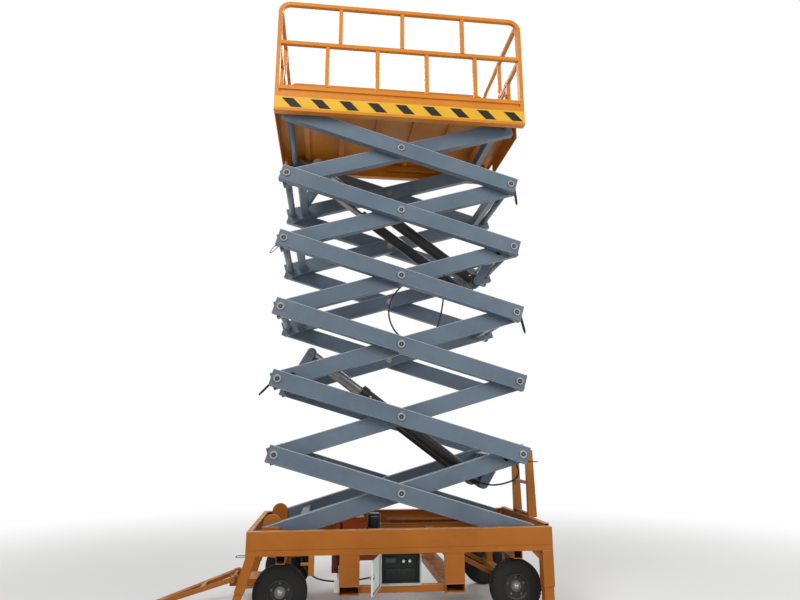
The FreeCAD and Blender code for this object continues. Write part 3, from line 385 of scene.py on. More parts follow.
# The chassis and the arms carry a painted highlight along their upper edges, strongest on the arms.
painted("chassis_orange", CHASSIS_LIGHT, CHASSIS_DARK, 0.36, 0.45, 0.8, edge=0.006, edge_highlight=0.6,
        upward_tone=(0.8, 0.44, 0.18))
painted("platform_orange", (0.68, 0.245, 0.024), (0.58, 0.195, 0.019), 0.32, 0.35, 0.35)
painted("arm_grey", ARM_LIGHT, ARM_DARK, 0.34, 0.25, 0.65, bare=(0.42, 0.44, 0.46), edge=0.014,
        edge_highlight=1.0, upward_tone=(0.52, 0.57, 0.61))
bare_metal("pin_steel", (0.34, 0.34, 0.33), (0.25, 0.24, 0.22), 0.34)
painted("barrel_black", (0.022, 0.022, 0.024), (0.035, 0.034, 0.033), 0.28, 0.35, 0.5,
        bare=(0.16, 0.15, 0.14))
rubber_material("tyre_rubber", (0.018, 0.017, 0.016), (0.01, 0.01, 0.01), 0.62)
painted("rim_black", (0.03, 0.03, 0.032), (0.045, 0.043, 0.042), 0.4, 0.4, 0.5,
        bare=(0.22, 0.21, 0.2), edge=0.002)
painted("box_grey", (0.72, 0.77, 0.76), (0.63, 0.68, 0.67), 0.42, 0.3, 0.3, edge=0.002)
painted("unit_red", (0.46, 0.075, 0.016), (0.36, 0.055, 0.013), 0.36, 0.4, 0.6)
rubber_material("hose_black", (0.026, 0.026, 0.027), (0.016, 0.016, 0.017), 0.45)
finish["rod_chrome"] = chrome_rod_material()
finish["deck_orange"] = deck_material()
bolt_steel = bare_metal("bolt_steel", (0.36, 0.35, 0.32), (0.26, 0.24, 0.2), 0.36, edge=0.0008)
# The pin rims take a near-white tone on what faces up: a painted highlight of light from above on their crowned
# tops.
pin_rim = painted("pin_rim", (0.36, 0.37, 0.38), (0.29, 0.3, 0.31), 0.3, 0.2, 2.2, edge=0.001,
                  upward_tone=(0.85, 0.86, 0.86))
pin_dark = painted("pin_dark", (0.06, 0.06, 0.06), (0.04, 0.04, 0.04), 0.5, 0.3, 0.5, edge=0.001)
hub_grey = painted("hub_grey", (0.2, 0.2, 0.2), (0.14, 0.14, 0.14), 0.42, 0.5, 0.4, edge=0.002)
weld_grey = painted("weld_seam_grey", ARM_LIGHT, ARM_DARK, 0.44, 0.2, 0.3, edge=0.001)
weld_orange = painted("weld_seam_orange", CHASSIS_LIGHT, CHASSIS_DARK, 0.4, 0.2, 0.3, edge=0.001)
stripe_yellow = painted("stripe_yellow", (0.8, 0.46, 0.035), (0.7, 0.38, 0.028), 0.36, 0.2, 0.2,
                        edge=0.001)
stripe_black = plastic_material("stripe_black", (0.01, 0.006, 0.004), (0.017, 0.011, 0.008), 0.52)
valve_red = painted("valve_red", (0.22, 0.018, 0.014), (0.16, 0.014, 0.011), 0.38, 0.3, 0.4, edge=0.002)
panel_dark = plastic_material("panel_dark", (0.007, 0.009, 0.008), (0.011, 0.013, 0.011), 0.45)
panel_glass = plastic_material("panel_glass", (0.055, 0.07, 0.066), (0.045, 0.056, 0.054), 0.12)
switch_white = plastic_material("switch_white", (0.72, 0.72, 0.68), (0.64, 0.63, 0.58), 0.35)
seal_rubber = rubber_material("seal_rubber", (0.024, 0.024, 0.024), (0.016, 0.016, 0.016), 0.7)

for part in frame["record"]["subparts"]:
    solid = nodes[part["node"]]
    chosen = finish[part["material_slot"]]
    if not solid.material_slots:
        solid.data.materials.append(chosen)
    for place in solid.material_slots:
        place.material = chosen


# Mesh helpers
def mm(*row):
    """Pairs of a distance and a radius in metres, from one row in millimetres."""
    return [(along / 1000, radius / 1000) for along, radius in zip(row[::2], row[1::2])]


def placed(route):
    """Places in the frame, from millimetres about the foot of the stack's middle."""
    return [MIDDLE + Vector(point) / 1000 for point in route]


def new_object(name, data):
    """An object that is linked to the scene."""
    thing = bpy.data.objects.new(name, data)
    bpy.context.scene.collection.objects.link(thing)
    return thing


def add_box(mesh, size, place, bevel=0.0, turn=None):
    """Adds a box with rounded edges to a mesh, turned and moved."""
    made = bmesh.ops.create_cube(mesh, size=1.0)["verts"]
    bmesh.ops.scale(mesh, vec=Vector(size), verts=made)
    if bevel:
        edges = list({edge for vert in made for edge in vert.link_edges})
        made = bmesh.ops.bevel(mesh, geom=edges, offset=bevel, segments=2, profile=0.6,
                               affect="EDGES")["verts"]
    if turn is not None:
        bmesh.ops.rotate(mesh, verts=made, matrix=turn.to_3x3(), cent=(0, 0, 0))
    bmesh.ops.translate(mesh, vec=Vector(place), verts=made)


def add_turned(mesh, profile, place, axis, segments):
    """Adds a body of revolution from (distance along the axis, radius) pairs."""
    seat = Vector(axis).normalized().to_track_quat("Z", "Y").to_matrix().to_4x4()
    seat.translation = Vector(place)
    rings = []
    for along, radius in profile:
        if radius < 1e-6:
            rings.append([mesh.verts.new(seat @ Vector((0, 0, along)))])
            continue
        ring = []
        for step in range(segments):
            angle = 2 * math.pi * step / segments
            spot = Vector((radius * math.cos(angle), radius * math.sin(angle), along))
            ring.append(mesh.verts.new(seat @ spot))
        rings.append(ring)
    for lower, upper in zip(rings, rings[1:]):
        for step in range(segments):
            after = (step + 1) % segments
            if len(lower) == 1:
                mesh.faces.new((lower[0], upper[step], upper[after]))
            elif len(upper) == 1:
                mesh.faces.new((lower[step], lower[after], upper[0]))
            else:
                mesh.faces.new((lower[step], lower[after], upper[after], upper[step]))


def add_hex_bolt(mesh, place, axis, across, height):
    """A hexagon bolt head with a chamfered crown on a washer."""
    radius = across / math.sqrt(3)
    add_turned(mesh, [(0, 0), (0, radius * 1.35), (height * 0.22, radius * 1.35),
                      (height * 0.22, radius * 0.9)], place, axis, 24)
    foot = Vector(place) + Vector(axis).normalized() * height * 0.2
    add_turned(mesh, [(0, radius), (height * 0.82, radius), (height, radius * 0.84), (height, 0)],
               foot, axis, 6)


def add_bead(mesh, start, end, radius, up):
    """A rippled weld bead from one point to another."""
    start, end, up = Vector(start), Vector(end), Vector(up).normalized()
    way = end - start
    across = way.normalized().cross(up)
    steps = max(3, int(way.length / 0.006))
    rings = []
    for step in range(steps + 1):
        swell = 1.0 if step % 2 else 0.8
        if step in (0, steps):
            swell = 0.3
        centre = start + way * (step / steps)
        rings.append([mesh.verts.new(centre + (across * math.cos(a) + up * math.sin(a)) * radius * swell)
                      for a in (-0.4, 0.5, 1.57, 2.64, 3.54)])
    for lower, upper in zip(rings, rings[1:]):
        for k in range(4):
            mesh.faces.new((lower[k], lower[k + 1], upper[k + 1], upper[k]))


def add_square_seam(mesh, low, high, z, radius, up):
    """Weld beads round an upright tube's four sides at a height. up is 1 above a plate and -1 below."""
    middle = (low + high) / 2
    corners = [(low.x, low.y), (high.x, low.y), (high.x, high.y), (low.x, high.y)]
    for (x0, y0), (x1, y1) in zip(corners, corners[1:] + corners[:1]):
        out = Vector(((x0 + x1) / 2 - middle.x, (y0 + y1) / 2 - middle.y, 0.0)).normalized()
        add_bead(mesh, (x0, y0, z), (x1, y1, z), radius, out + Vector((0, 0, up)))


def add_slab(mesh, outline, y0, y1):
    """A thin plate with an outline in X and Z between two places across the machine."""
    front = [mesh.verts.new((x, y0, z)) for x, z in outline]
    back = [mesh.verts.new((x, y1, z)) for x, z in outline]
    mesh.faces.new(front)
    mesh.faces.new(list(reversed(back)))
    for k in range(len(outline)):
        after = (k + 1) % len(outline)
        mesh.faces.new((front[k], back[k], back[after], front[after]))


def finished(name, mesh, body, material, smooth=40, seat=None):
    """Turns a mesh, moved by a seat where one is given, into an object that rides on a body."""
    if seat:
        bmesh.ops.transform(mesh, matrix=seat, verts=mesh.verts)
    bmesh.ops.recalc_face_normals(mesh, faces=mesh.faces)
    data = bpy.data.meshes.new(name)
    mesh.to_mesh(data)
    mesh.free()
    thing = new_object(name, data)
    data.materials.append(material)
    data.shade_smooth()
    data.set_sharp_from_angle(angle=math.radians(smooth))
    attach(thing, body)
    return thing


def solid_boxes(node):
    """The lowest and highest corner of each solid of a node."""
    mesh = bmesh.new()
    mesh.from_mesh(nodes[node].data)
    bmesh.ops.remove_doubles(mesh, verts=mesh.verts, dist=1e-5)
    left = set(mesh.verts)
    boxes = []
    while left:
        reached = [left.pop()]
        corners = []
        while reached:
            vert = reached.pop()
            corners.append(vert.co.copy())
            for edge in vert.link_edges:
                other = edge.other_vert(vert)
                if other in left:
                    left.remove(other)
                    reached.append(other)
        boxes.append((Vector(map(min, zip(*corners))), Vector(map(max, zip(*corners)))))
    mesh.free()
    return sorted(boxes, key=lambda box: tuple(box[0]))


def stage_frame(stage, lean):
    """From a level arm at the origin to its place in a stage. lean is 1 where the right end is high."""
    place = MIDDLE + Vector((0, 0, FIRST_CENTRE + (stage - 1) * STAGE_RISE))
    return Matrix.Translation(place) @ Matrix.Rotation(-lean * LEAN, 4, "Y")


# Arms
def outer_pin_places(stage):
    """Where an outer frame's capped pins sit along its arms.

    The lowest right end has rollers, and the highest left end reaches into the platform's brackets."""
    uncapped = {1: ARM_REACH, STAGES: -ARM_REACH}
    return [x for x in (-ARM_REACH, 0.0, ARM_REACH) if x != uncapped.get(stage)]


def pin_trim(stage):
    """The rims with a painted highlight on top, dark discs for the sunk centres and grease nipples of an outer
    frame's pins.
    """
    rims, sockets = bmesh.new(), bmesh.new()
    for side in (1, -1):
        outward = (0, side, 0)
        for x in outer_pin_places(stage):
            cap = (x, side * (OUTER_FACE + PIN_CAP_HEIGHT), 0)
            add_turned(rims, mm(0, 35, 3, 34.2, 5.2, 31.8, 6, 28.5, 5.2, 25.2, 3, 22.8, 0, 22), cap,
                       outward, 48)
            add_turned(rims, mm(0, 4.5, 3, 4.5, 3, 3, 6, 3.6, 7.5, 2, 7.5, 0), cap, outward, 12)
            # A thin dark disc over each cap stands for its sunk centre, which is not cut: its darkness is partly
            # dark oil and partly painted shade of the recess.
            add_turned(sockets, mm(0, 22, 0.6, 22, 0.6, 0), cap, outward, 40)
    body, seat = "outer_%d" % stage, stage_frame(stage, -1)
    finished("pin_rims_%d" % stage, rims, body, pin_rim, seat=seat)
    finished("pin_centre_shades_%d" % stage, sockets, body, pin_dark, seat=seat)


def distance_tubes(stage):
    """The painted tubes over an outer frame's end shafts, between the inner arms."""
    tubes = bmesh.new()
    half = INNER_FACE - 0.004
    for x in (-ARM_REACH, ARM_REACH):
        add_turned(tubes, [(0.0, 0.0302), (0.0, 0.0345), (0.0012, 0.0355), (2 * half - 0.0012, 0.0355),
                           (2 * half, 0.0345), (2 * half, 0.0302)], (x, -half, 0), (0, 1, 0), 32)
    finished("distance_tubes_%d" % stage, tubes, "outer_%d" % stage, finish["arm_grey"],
             seat=stage_frame(stage, -1))


def arm_end_caps(stage, lean, near, body):
    """The welded cap plates set just inside the open ends of a frame's two arms."""
    caps = bmesh.new()
    size = (0.004, ARM_WIDTH - 0.0125, 2 * ARM_HALF_HEIGHT - 0.0125)
    for side in (1, -1):
        for end in (1, -1):
            add_box(caps, size, (end * (ARM_REACH + 0.052), side * (near + ARM_WIDTH / 2), 0), 0.001)
    finished("arm_end_caps_" + body, caps, body, finish["arm_grey"],
             seat=stage_frame(stage, lean))


def tie_welds(stage):
    """Weld beads round the cross ties where they meet the inner arms."""
    beads = bmesh.new()
    for x in (-LOWEST_LEFT_TIE_REACH if stage == 1 else -TIE_REACH, TIE_REACH):
        ring = [(x + i * TIE_HALF, k * TIE_HALF) for i, k in ((-1, -1), (1, -1), (1, 1), (-1, 1))]
        for side in (1, -1):
            y = side * (INNER_FACE - 0.0005)
            for (x0, z0), (x1, z1) in zip(ring, ring[1:] + ring[:1]):
                out = Vector(((x0 + x1) / 2 - x, -side * TIE_HALF, (z0 + z1) / 2))
                add_bead(beads, (x0, y, z0), (x1, y, z1), 0.0045, out)
    finished("tie_welds_%d" % stage, beads, "inner_%d" % stage, weld_grey, 60,
             stage_frame(stage, 1))


for stage in range(1, STAGES + 1):
    pin_trim(stage)
    distance_tubes(stage)
    arm_end_caps(stage, -1, OUTER_FACE - ARM_WIDTH, "outer_%d" % stage)
    arm_end_caps(stage, 1, INNER_FACE, "inner_%d" % stage)
    tie_welds(stage)


# Cylinders
def cylinder_fittings(name):
    """Gland rings, rod wipers, weld rings and hose ports of a pair of lift cylinders."""
    base = joint_at[name + "_barrels_turn"]
    way = joint_axis[name + "_rods_slide"].normalized()
    steel, wipers, welds = bmesh.new(), bmesh.new(), bmesh.new()
    for side in (1, -1):
        eye = Vector((base.x, MIDDLE.y + side * CYLINDER_SIDE, base.z))
        gland = eye + way * GLAND_END
        add_turned(steel, mm(0, 56, 5, 55, 7, 52, 7, 45, 0, 44.5), gland, way, 48)
        add_turned(wipers, mm(0, 44.5, 6, 43.5, 10, 38.5, 10, 36, 2, 35.8), gland, way, 48)
        for k in range(6):
            around = Matrix.Rotation(2 * math.pi * k / 6, 3, way) @ Vector((0, 1, 0))
            add_hex_bolt(steel, gland + around * 0.061 - way * 0.0005, way, 0.007, 0.005)
        add_turned(welds, mm(-6, 58, -4, 60.5, 0, 61.5, 4, 60.5, 6, 58), eye + way * 0.08, way, 64)
        for along in (PORT_PLACE, GLAND_END - 0.11):
            port = eye + way * along + Vector((0, side * 0.0565, 0))
            add_turned(welds, mm(0, 16, 6, 15, 8, 13.5, 8, 0), port, (0, side, 0), 24)
            add_turned(steel, mm(6, 10.5, 11, 10.5, 11, 12.5, 21, 12.5, 22, 8.5, 22, 0), port,
                       (0, side, 0), 6)
    body = name + "_barrels"
    finished(name + "_gland_rings", steel, body, bolt_steel)
    finished(name + "_rod_wipers", wipers, body, seal_rubber)
    finished(name + "_port_bosses", welds, body, finish["barrel_black"])


def rod_pins(stage):
    """The headed pins in the lugs at the ends of a pair of rods."""
    steel = bmesh.new()
    reach = ROD_EYE_WIDTH / 2 + 0.016
    for side in (1, -1):
        start = (-ROD_EYE_ALONG, side * CYLINDER_SIDE - reach, ROD_EYE_RISE)
        head = mm(-8, 0, -8, 29, -6, 31, 0, 31, 0, 24.7)
        nut = [(2 * reach + along, radius)
               for along, radius in mm(0, 24.7, 0, 31, 5, 31, 6, 25, 10, 23.5, 10, 0)]
        add_turned(steel, head + nut, start, (0, 1, 0), 40)
    finished("rod_pins_%d" % stage, steel, "inner_%d" % stage, hub_grey,
             seat=stage_frame(stage, 1))


for name in ("lower", "upper"):
    cylinder_fittings(name)
for stage in (3, 6):
    rod_pins(stage)


# Hoses and cables
def cord_curve(name, points, diameter, material, body=None):
    """A curve as thick as the cord through given control points, on a body where one is given."""
    data = bpy.data.curves.new(name, "CURVE")
    data.dimensions = "3D"
    data.bevel_depth = diameter / 2
    data.bevel_resolution = 5
    data.resolution_u = 10
    data.use_fill_caps = True
    spline = data.splines.new("NURBS")
    spline.points.add(len(points) - 1)
    for place, point in zip(spline.points, points):
        place.co = (*point, 1.0)
    spline.order_u = 3
    spline.use_endpoint_u = True
    data.materials.append(material)
    thing = new_object(name, data)
    if body:
        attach(thing, body)
    return thing


def add_hose_end(mesh, point, onward, radius):
    """A crimped sleeve over a hose's end and the hexagon behind it. onward points along the hose."""
    onward = Vector(onward).normalized()
    sleeve = ((-2, 0.9), (-2, 1.35), (10, 1.4), (12, 1.28), (16, 1.28), (18, 1.4), (24, 1.4),
              (26, 1.28), (30, 1.28), (32, 1.36), (40, 1.3), (41, 1.02))
    hexagon = ((0, 0), (0, 1.3), (2, 1.45), (14, 1.45), (16, 1.3), (16, 0))
    for shape, start, segments in ((sleeve, Vector(point), 24),
                                   (hexagon, Vector(point) - onward * 0.018, 6)):
        add_turned(mesh, [(along / 1000, radius * width) for along, width in shape], start, onward,
                   segments)


def arm_block(mesh, point, y_face):
    """The small manifold on an arm's inner side that a hose screws into."""
    depth = abs(point.y - y_face) + HOSE_DIAMETER * 0.8
    y = y_face + math.copysign(depth / 2, point.y - y_face)
    add_box(mesh, (0.036, depth, 0.036), (point.x, y, point.z), 0.002)


def near_hose(name, node, route, body, blocks):
    """A hydraulic hose with its end fittings. blocks has a 1 for each end that screws into an arm."""
    points = placed(route)
    hose = cord_curve(name, points, HOSE_DIAMETER, finish["hose_black"], body)
    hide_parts(node)
    ends = bmesh.new()
    for end, after, has_block in ((points[0], points[1], blocks[0]), (points[-1], points[-2], blocks[1])):
        add_hose_end(ends, end, after - end, HOSE_DIAMETER / 2)
        if has_block:
            back = (end - after).normalized() * 0.034
            arm_block(ends, end + back, MIDDLE.y - INNER_FACE)
    fittings = finished(name + "_fittings", ends, body, bolt_steel)


# The routes are in millimetres about the foot of the stack's middle
HOSE_Y = -481.7
near_hose("cylinder_hose", "base_hose",
          [(1085, HOSE_Y, 1350), (1170, HOSE_Y, 1265), (1145, -478, 1160), (1040, -470, 1120),
           (935, -462, 1100), (850, -455, 1104), (793, -425, 1122), (765, -375, 1143),
           (762, -310.3, 1160)],
          "inner_1", (1, 0))
near_hose("hanging_hose", "stack_hose",
          [(x, HOSE_Y, z) for x, z in (
              (95, 3090), (20, 3030), (-62, 2930), (-108, 2800), (-98, 2670), (-30, 2545), (90, 2455),
              (225, 2440), (335, 2515), (395, 2640), (430, 2780), (452, 2920), (462, 3060), (470, 3190))],
          "inner_4", (1, 1))


def tube_along(name, points, diameter, material):
    """A mesh tube round the smooth curve of given points, and the curve's own points."""
    curve = cord_curve(name + "_line", points, diameter, material)
    curve.data.bevel_depth = 0.0
    line = bpy.data.meshes.new_from_object(curve)
    path = [vert.co.copy() for vert in line.vertices]
    curve.data.bevel_depth = diameter / 2
    tube = new_object(name, bpy.data.meshes.new_from_object(curve))
    bpy.data.objects.remove(curve)
    return tube, path


LOOP_TAIL = 0.055
RIGHT_LOOP_SLANT = 0.28
LEFT_LOOP_SLANT = -0.1
HALF_OCTAGON_SIDE = 0.414


def end_loop(stage, corner, tip, diameter):
    """A hose loop from a near outer arm's end round to the inner arm's end beside it.

    corner and tip are places in X and Z. The stage is the lower one of the two that meet there."""
    way = Vector((tip[0] - corner[0], 0, tip[1] - corner[1]))
    length = way.length
    way.normalize()
    outer_y = -(OUTER_FACE - 0.012)
    inner_y = -(INNER_FACE + 0.03)
    radius = (inner_y - outer_y) / 2
    middle_y = outer_y + radius
    step = HALF_OCTAGON_SIDE * radius
    turn = length - radius
    out = [(-LOOP_TAIL, outer_y), (turn - step, outer_y), (turn + step, outer_y),
           (length, middle_y - step)]
    back = [(length, middle_y + step), (turn + step, inner_y), (turn - step, inner_y),
            (-LOOP_TAIL, inner_y)]
    right = corner[0] > 0
    slant = RIGHT_LOOP_SLANT if right else LEFT_LOOP_SLANT
    points = [MIDDLE + Vector((corner[0] + slant * (y - outer_y), y, corner[1])) + way * along
              for along, y in out + back]
    name = "end_loop_%d_%d" % (stage, stage + 1)
    tube, path = tube_along(name, points, diameter, finish["hose_black"])
    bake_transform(tube)
    length = sum((b - a).length for a, b in zip(path, path[1:]))


# The stage below each loop, its two ends in X and Z, and its thickness
for stage, corner, tip, diameter in ((1, (1.224, 1.322), (1.302, 1.318), 0.007),
                                     (2, (-1.234, 2.007), (-1.307, 1.93), 0.0145),
                                     (3, (1.201, 2.704), (1.234, 2.563), 0.0145),
                                     (4, (-1.232, 3.352), (-1.275, 3.305), 0.007),
                                     (5, (1.194, 4.077), (1.212, 3.928), 0.014)):
    end_loop(stage, corner, tip, diameter)


def box_cable():
    """The cable that sags from the near rail behind the hanger to the control box."""
    route = [(-872, -730, 561), (-870, -726, 515), (-853, -705, 470), (-822, -682, 425),
             (-752, -664, 362), (-665, -656, 338), (-581, -650, 328), (-500, -645, 326),
             (-420, -643, 330), (-311, -641, 343), (-240, -640, 356), (-184, -640, 362)]
    points = placed(route)
    cable = cord_curve("box_cable", points, 0.014, finish["hose_black"], "chassis")
    glands = bmesh.new()
    for end, onward in ((points[0], (0, 0, -1)), (points[-1], (-1, 0, 0.1))):
        add_turned(glands, mm(0, 0, 0, 15, 6, 15, 6, 13, 16, 12, 22, 8.5, 23, 7.1), end, onward, 6)
    fittings = finished("box_cable_glands", glands, "chassis", panel_dark)


box_cable()


# Wheels
def tyre_mesh():
    """A tyre about Y at the origin: ribbed side walls and four rows of tread blocks."""
    mesh = bmesh.new()
    # Distance from the middle and radius, from the bead out to the tread
    side = mm(51.5, 106.5, 54.5, 110, 56, 118, 57, 118.5, 58, 124, 59.2, 132, 60.4, 132.2, 60.4, 136,
              59.4, 136.2, 60.4, 146, 61.2, 160, 61.2, 176, 60.5, 188, 61.2, 188.5, 61.2, 192,
              60, 192.5, 57.5, 204, 54.5, 214, 50, 221.5, 42, 226.8, 30, 228.2)
    profile = [(-a, r) for a, r in side] + [(a, r) for a, r in reversed(side)]
    add_turned(mesh, profile, (0, 0, 0), (0, 1, 0), 128)
    # Across the tread: middle and width of each row, radius of its top and its lag
    rows = [(-0.0425, 0.02, 0.2315, 0.0), (-0.0145, 0.024, 0.2345, 0.5),
            (0.0145, 0.024, 0.2345, 0.0), (0.0425, 0.02, 0.2315, 0.5)]
    blocks = 46
    height = 0.012
    pitch = 2 * math.pi / blocks
    for middle, width, top, lag in rows:
        length = pitch * top * 0.74
        slant = Matrix.Rotation(math.radians(12 if middle > 0 else -12), 4, "Z")
        tip = math.copysign(math.radians(17), middle) if abs(middle) > 0.03 else 0.0
        for k in range(blocks):
            around = Matrix.Rotation((k + lag) * pitch, 4, "Y")
            centre = around @ Vector((0, middle, top - height / 2))
            add_box(mesh, (length, width, height), centre, 0.0012,
                    around @ Matrix.Rotation(-tip, 4, "X") @ slant)
    return mesh


def wheel_hardware(name, centre, out):
    """Wheel bolts, the hub with its grease cap and the valve of one wheel."""
    body = "wheel_" + name
    outward = Vector((0, out, 0))
    bolts, cap, hub, stem = bmesh.new(), bmesh.new(), bmesh.new(), bmesh.new()
    for k in range(5):
        angle = 2 * math.pi * (k + 0.25) / 5
        place = centre + Vector((0.079 * math.cos(angle), out * 0.0122, 0.079 * math.sin(angle)))
        add_hex_bolt(bolts, place, outward, 0.0155, 0.01)
    add_turned(cap, mm(0, 30.5, 2, 30.5, 3.5, 27.2, 10, 26.8, 15.5, 23.8, 19.5, 17, 21.5, 8, 22, 0),
               centre + outward * 0.0362, outward, 40)
    add_turned(hub, mm(12.2, 50, 15, 46.8, 18, 45, 34, 44.6, 36.6, 42.5, 36.6, 31, 35.5, 26.2), centre,
               outward, 48)
    add_turned(stem, mm(0, 6, 6, 5.5, 12, 4, 26, 3.8, 26, 4.5, 34, 4.5, 34, 0),
               centre + Vector((0.088 * math.cos(1.2), out * 0.012, 0.088 * math.sin(1.2))),
               (0.1, out, 0.16), 12)
    finished("hub_cap_" + name, cap, body, finish["pin_steel"])
    finished("wheel_bolts_" + name, bolts, body, hub_grey)
    finished("hub_shell_" + name, hub, body, hub_grey)
    finished("tyre_valve_" + name, stem, body, finish["hose_black"])


tread = tyre_mesh()
tread_turn = random.Random(5)
for name in ("rear_near", "rear_far", "front_near", "front_far"):
    centre = joint_at["wheel_%s_roll" % name]
    copy = tread.copy()
    bmesh.ops.rotate(copy, verts=copy.verts, cent=(0, 0, 0),
                     matrix=Matrix.Rotation(tread_turn.uniform(0, 1), 3, "Y"))
    bmesh.ops.translate(copy, verts=copy.verts, vec=centre)
    rubber = finished("tyre_tread_" + name, copy, "wheel_" + name, finish["tyre_rubber"],
                      30)
    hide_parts("tyre_" + name)
    wheel_hardware(name, centre, 1 if name.endswith("far") else -1)
tread.free()


# Control box
def box_details():
    """The dark panel with blank devices and two white switches."""
    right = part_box("control_box")[1].x
    left = right - BOX_WIDTH
    floor = RAIL_BOTTOM - BOX_HEIGHT
    face = MIDDLE.y - 0.745 + PANEL_RECESS
    row = floor + 0.085
    panel, glass, knobs = bmesh.new(), bmesh.new(), bmesh.new()
    add_box(panel, (BOX_WIDTH - 0.01, 0.001, BOX_HEIGHT - 0.01),
            ((left + right) / 2, face - 0.0006, floor + BOX_HEIGHT / 2), 0.0003)
    add_box(panel, (0.274, 0.0135, 0.084), (left + 0.175, face - 0.0068, row), 0.002)
    for k in range(6):
        x = left + 0.063 + 0.0448 * k
        add_box(panel, (0.036, 0.004, 0.05), (x, face - 0.0152, row), 0.0015)
        add_box(panel, (0.01, 0.008, 0.014), (x, face - 0.02, row), 0.0015)
    add_box(panel, (0.114, 0.0155, 0.059), (left + 0.085, face - 0.0078, floor + 0.1925), 0.002)
    for x, turn in ((0.198, 0.3), (0.253, 1.1)):
        add_box(panel, (0.03, 0.0245, 0.03), (left + x, face - 0.0124, floor + 0.188), 0.003)
        place = (left + x, face - 0.0245, floor + 0.188)
        add_turned(knobs, mm(0, 12.5, 4, 12.5, 5, 10.5, 16, 9.5, 18, 8, 18, 0), place, (0, -1, 0), 24)
        add_box(knobs, (0.004, 0.007, 0.02), (place[0], place[1] - 0.0195, place[2]), 0.0012,
                Matrix.Rotation(turn, 4, "Y"))
    for x in (0.014, BOX_WIDTH - 0.014):
        for z in (0.014, BOX_HEIGHT - 0.014):
            add_turned(panel, mm(0, 4, 1.5, 4, 2, 3, 2, 0), (left + x, face - 0.001, floor + z),
                       (0, -1, 0), 16)
    add_box(glass, (0.086, 0.001, 0.034), (left + 0.085, face - 0.016, floor + 0.1945), 0.0004)
    finished("box_panel", panel, "chassis", panel_dark)
    finished("box_display", glass, "chassis", panel_glass)
    finished("box_switches", knobs, "chassis", switch_white)


def door_details():
    """The seal round the control box door's inner side, and its latch."""
    hinge = joint_at["control_box_door_swing"]
    open_way = Matrix.Translation(hinge) @ Matrix.Rotation(-math.radians(DOOR_OPEN), 4, "Z")
    hinge_edge, free_edge = 0.0061, BOX_WIDTH + 0.005
    back = 0.0045
    inset = 0.01
    width = free_edge - hinge_edge - 2 * inset
    height = BOX_HEIGHT - 2 * inset
    seal, latch = bmesh.new(), bmesh.new()
    for z in (-height / 2, height / 2):
        add_box(seal, (width, 0.004, 0.006), ((hinge_edge + free_edge) / 2, back - 0.011, z), 0.001)
    for x in (hinge_edge + inset, free_edge - inset):
        add_box(seal, (0.006, 0.004, height), (x, back - 0.011, 0), 0.001)
    lock_x = free_edge - 0.028
    add_turned(latch, mm(0, 0, 0, 12, 3, 12, 5, 9, 5, 0), (lock_x, back - 0.015, 0), (0, -1, 0), 24)
    add_box(latch, (0.004, 0.012, 0.024), (lock_x, back - 0.0255, 0), 0.0015)
    add_turned(latch, mm(0, 9.5, 12, 9.5, 13, 7, 13, 0), (lock_x, back - 0.012, 0), (0, 1, 0), 6)
    add_box(latch, (0.014, 0.003, 0.04), (lock_x, back + 0.0035, 0.012), 0.001)
    finished("door_seal", seal, "control_box_door", seal_rubber, seat=open_way)
    finished("door_latch", latch, "control_box_door", bolt_steel, seat=open_way)


box_details()
door_details()


# Hydraulic unit
def unit_details():
    """The tank's lid, filler and gauge, the motor's finned shell and the valves on the pump block."""
    floor = BEAM_TOP + 0.008
    tank_left = MIDDLE.x - 0.56
    tank_right = tank_left + 0.26
    tank_top = floor + 0.19
    black, red, steel, dark = bmesh.new(), bmesh.new(), bmesh.new(), bmesh.new()
    motor = Vector((tank_right + 0.105, MIDDLE.y, floor + 0.085))
    ribs = [(0.0, 0.0), (0.0, 0.06)]
    for k in range(9):
        z = 0.006 + 0.014 * k
        ribs += [(z, 0.06), (z, 0.068), (z + 0.005, 0.068), (z + 0.005, 0.06)]
    ribs += [(0.131, 0.06), (0.134, 0.057), (0.136, 0.045), (0.136, 0.0)]
    add_turned(black, ribs, motor, (0, 0, 1), 40)
    add_box(black, (0.07, 0.05, 0.08), motor + Vector((0.0, -0.085, 0.07)), 0.004)
    finished("motor_shell", black, "chassis", finish["barrel_black"])
    add_box(red, (0.268, 0.288, 0.006), (tank_left + 0.13, MIDDLE.y, tank_top + 0.003), 0.0015)
    finished("tank_lid", red, "chassis", finish["unit_red"])
    for x in (0.008, 0.09, 0.17, 0.252):
        for side in (1, -1):
            add_hex_bolt(steel, (tank_left + x, MIDDLE.y + side * 0.132, tank_top + 0.006), (0, 0, 1),
                         0.008, 0.005)
    for x in (0.045, 0.085, 0.125):
        place = (tank_right + x, MIDDLE.y - 0.055, floor + 0.03)
        add_turned(steel, mm(0, 13, 10, 13, 11, 9, 30, 9, 31, 7, 36, 7, 36, 0), place, (0, -1, 0), 6)
    finished("unit_fittings", steel, "chassis", bolt_steel)
    filler = (tank_left + 0.06, MIDDLE.y - 0.07, tank_top + 0.006)
    add_turned(dark, mm(0, 30, 6, 30, 7, 24, 20, 24, 22, 31, 40, 31, 44, 26, 44, 0), filler, (0, 0, 1),
               32)
    add_box(dark, (0.022, 0.008, 0.11), (tank_left + 0.04, MIDDLE.y - 0.1435, floor + 0.095), 0.003)
    finished("tank_filler", dark, "chassis", panel_dark)


unit_details()


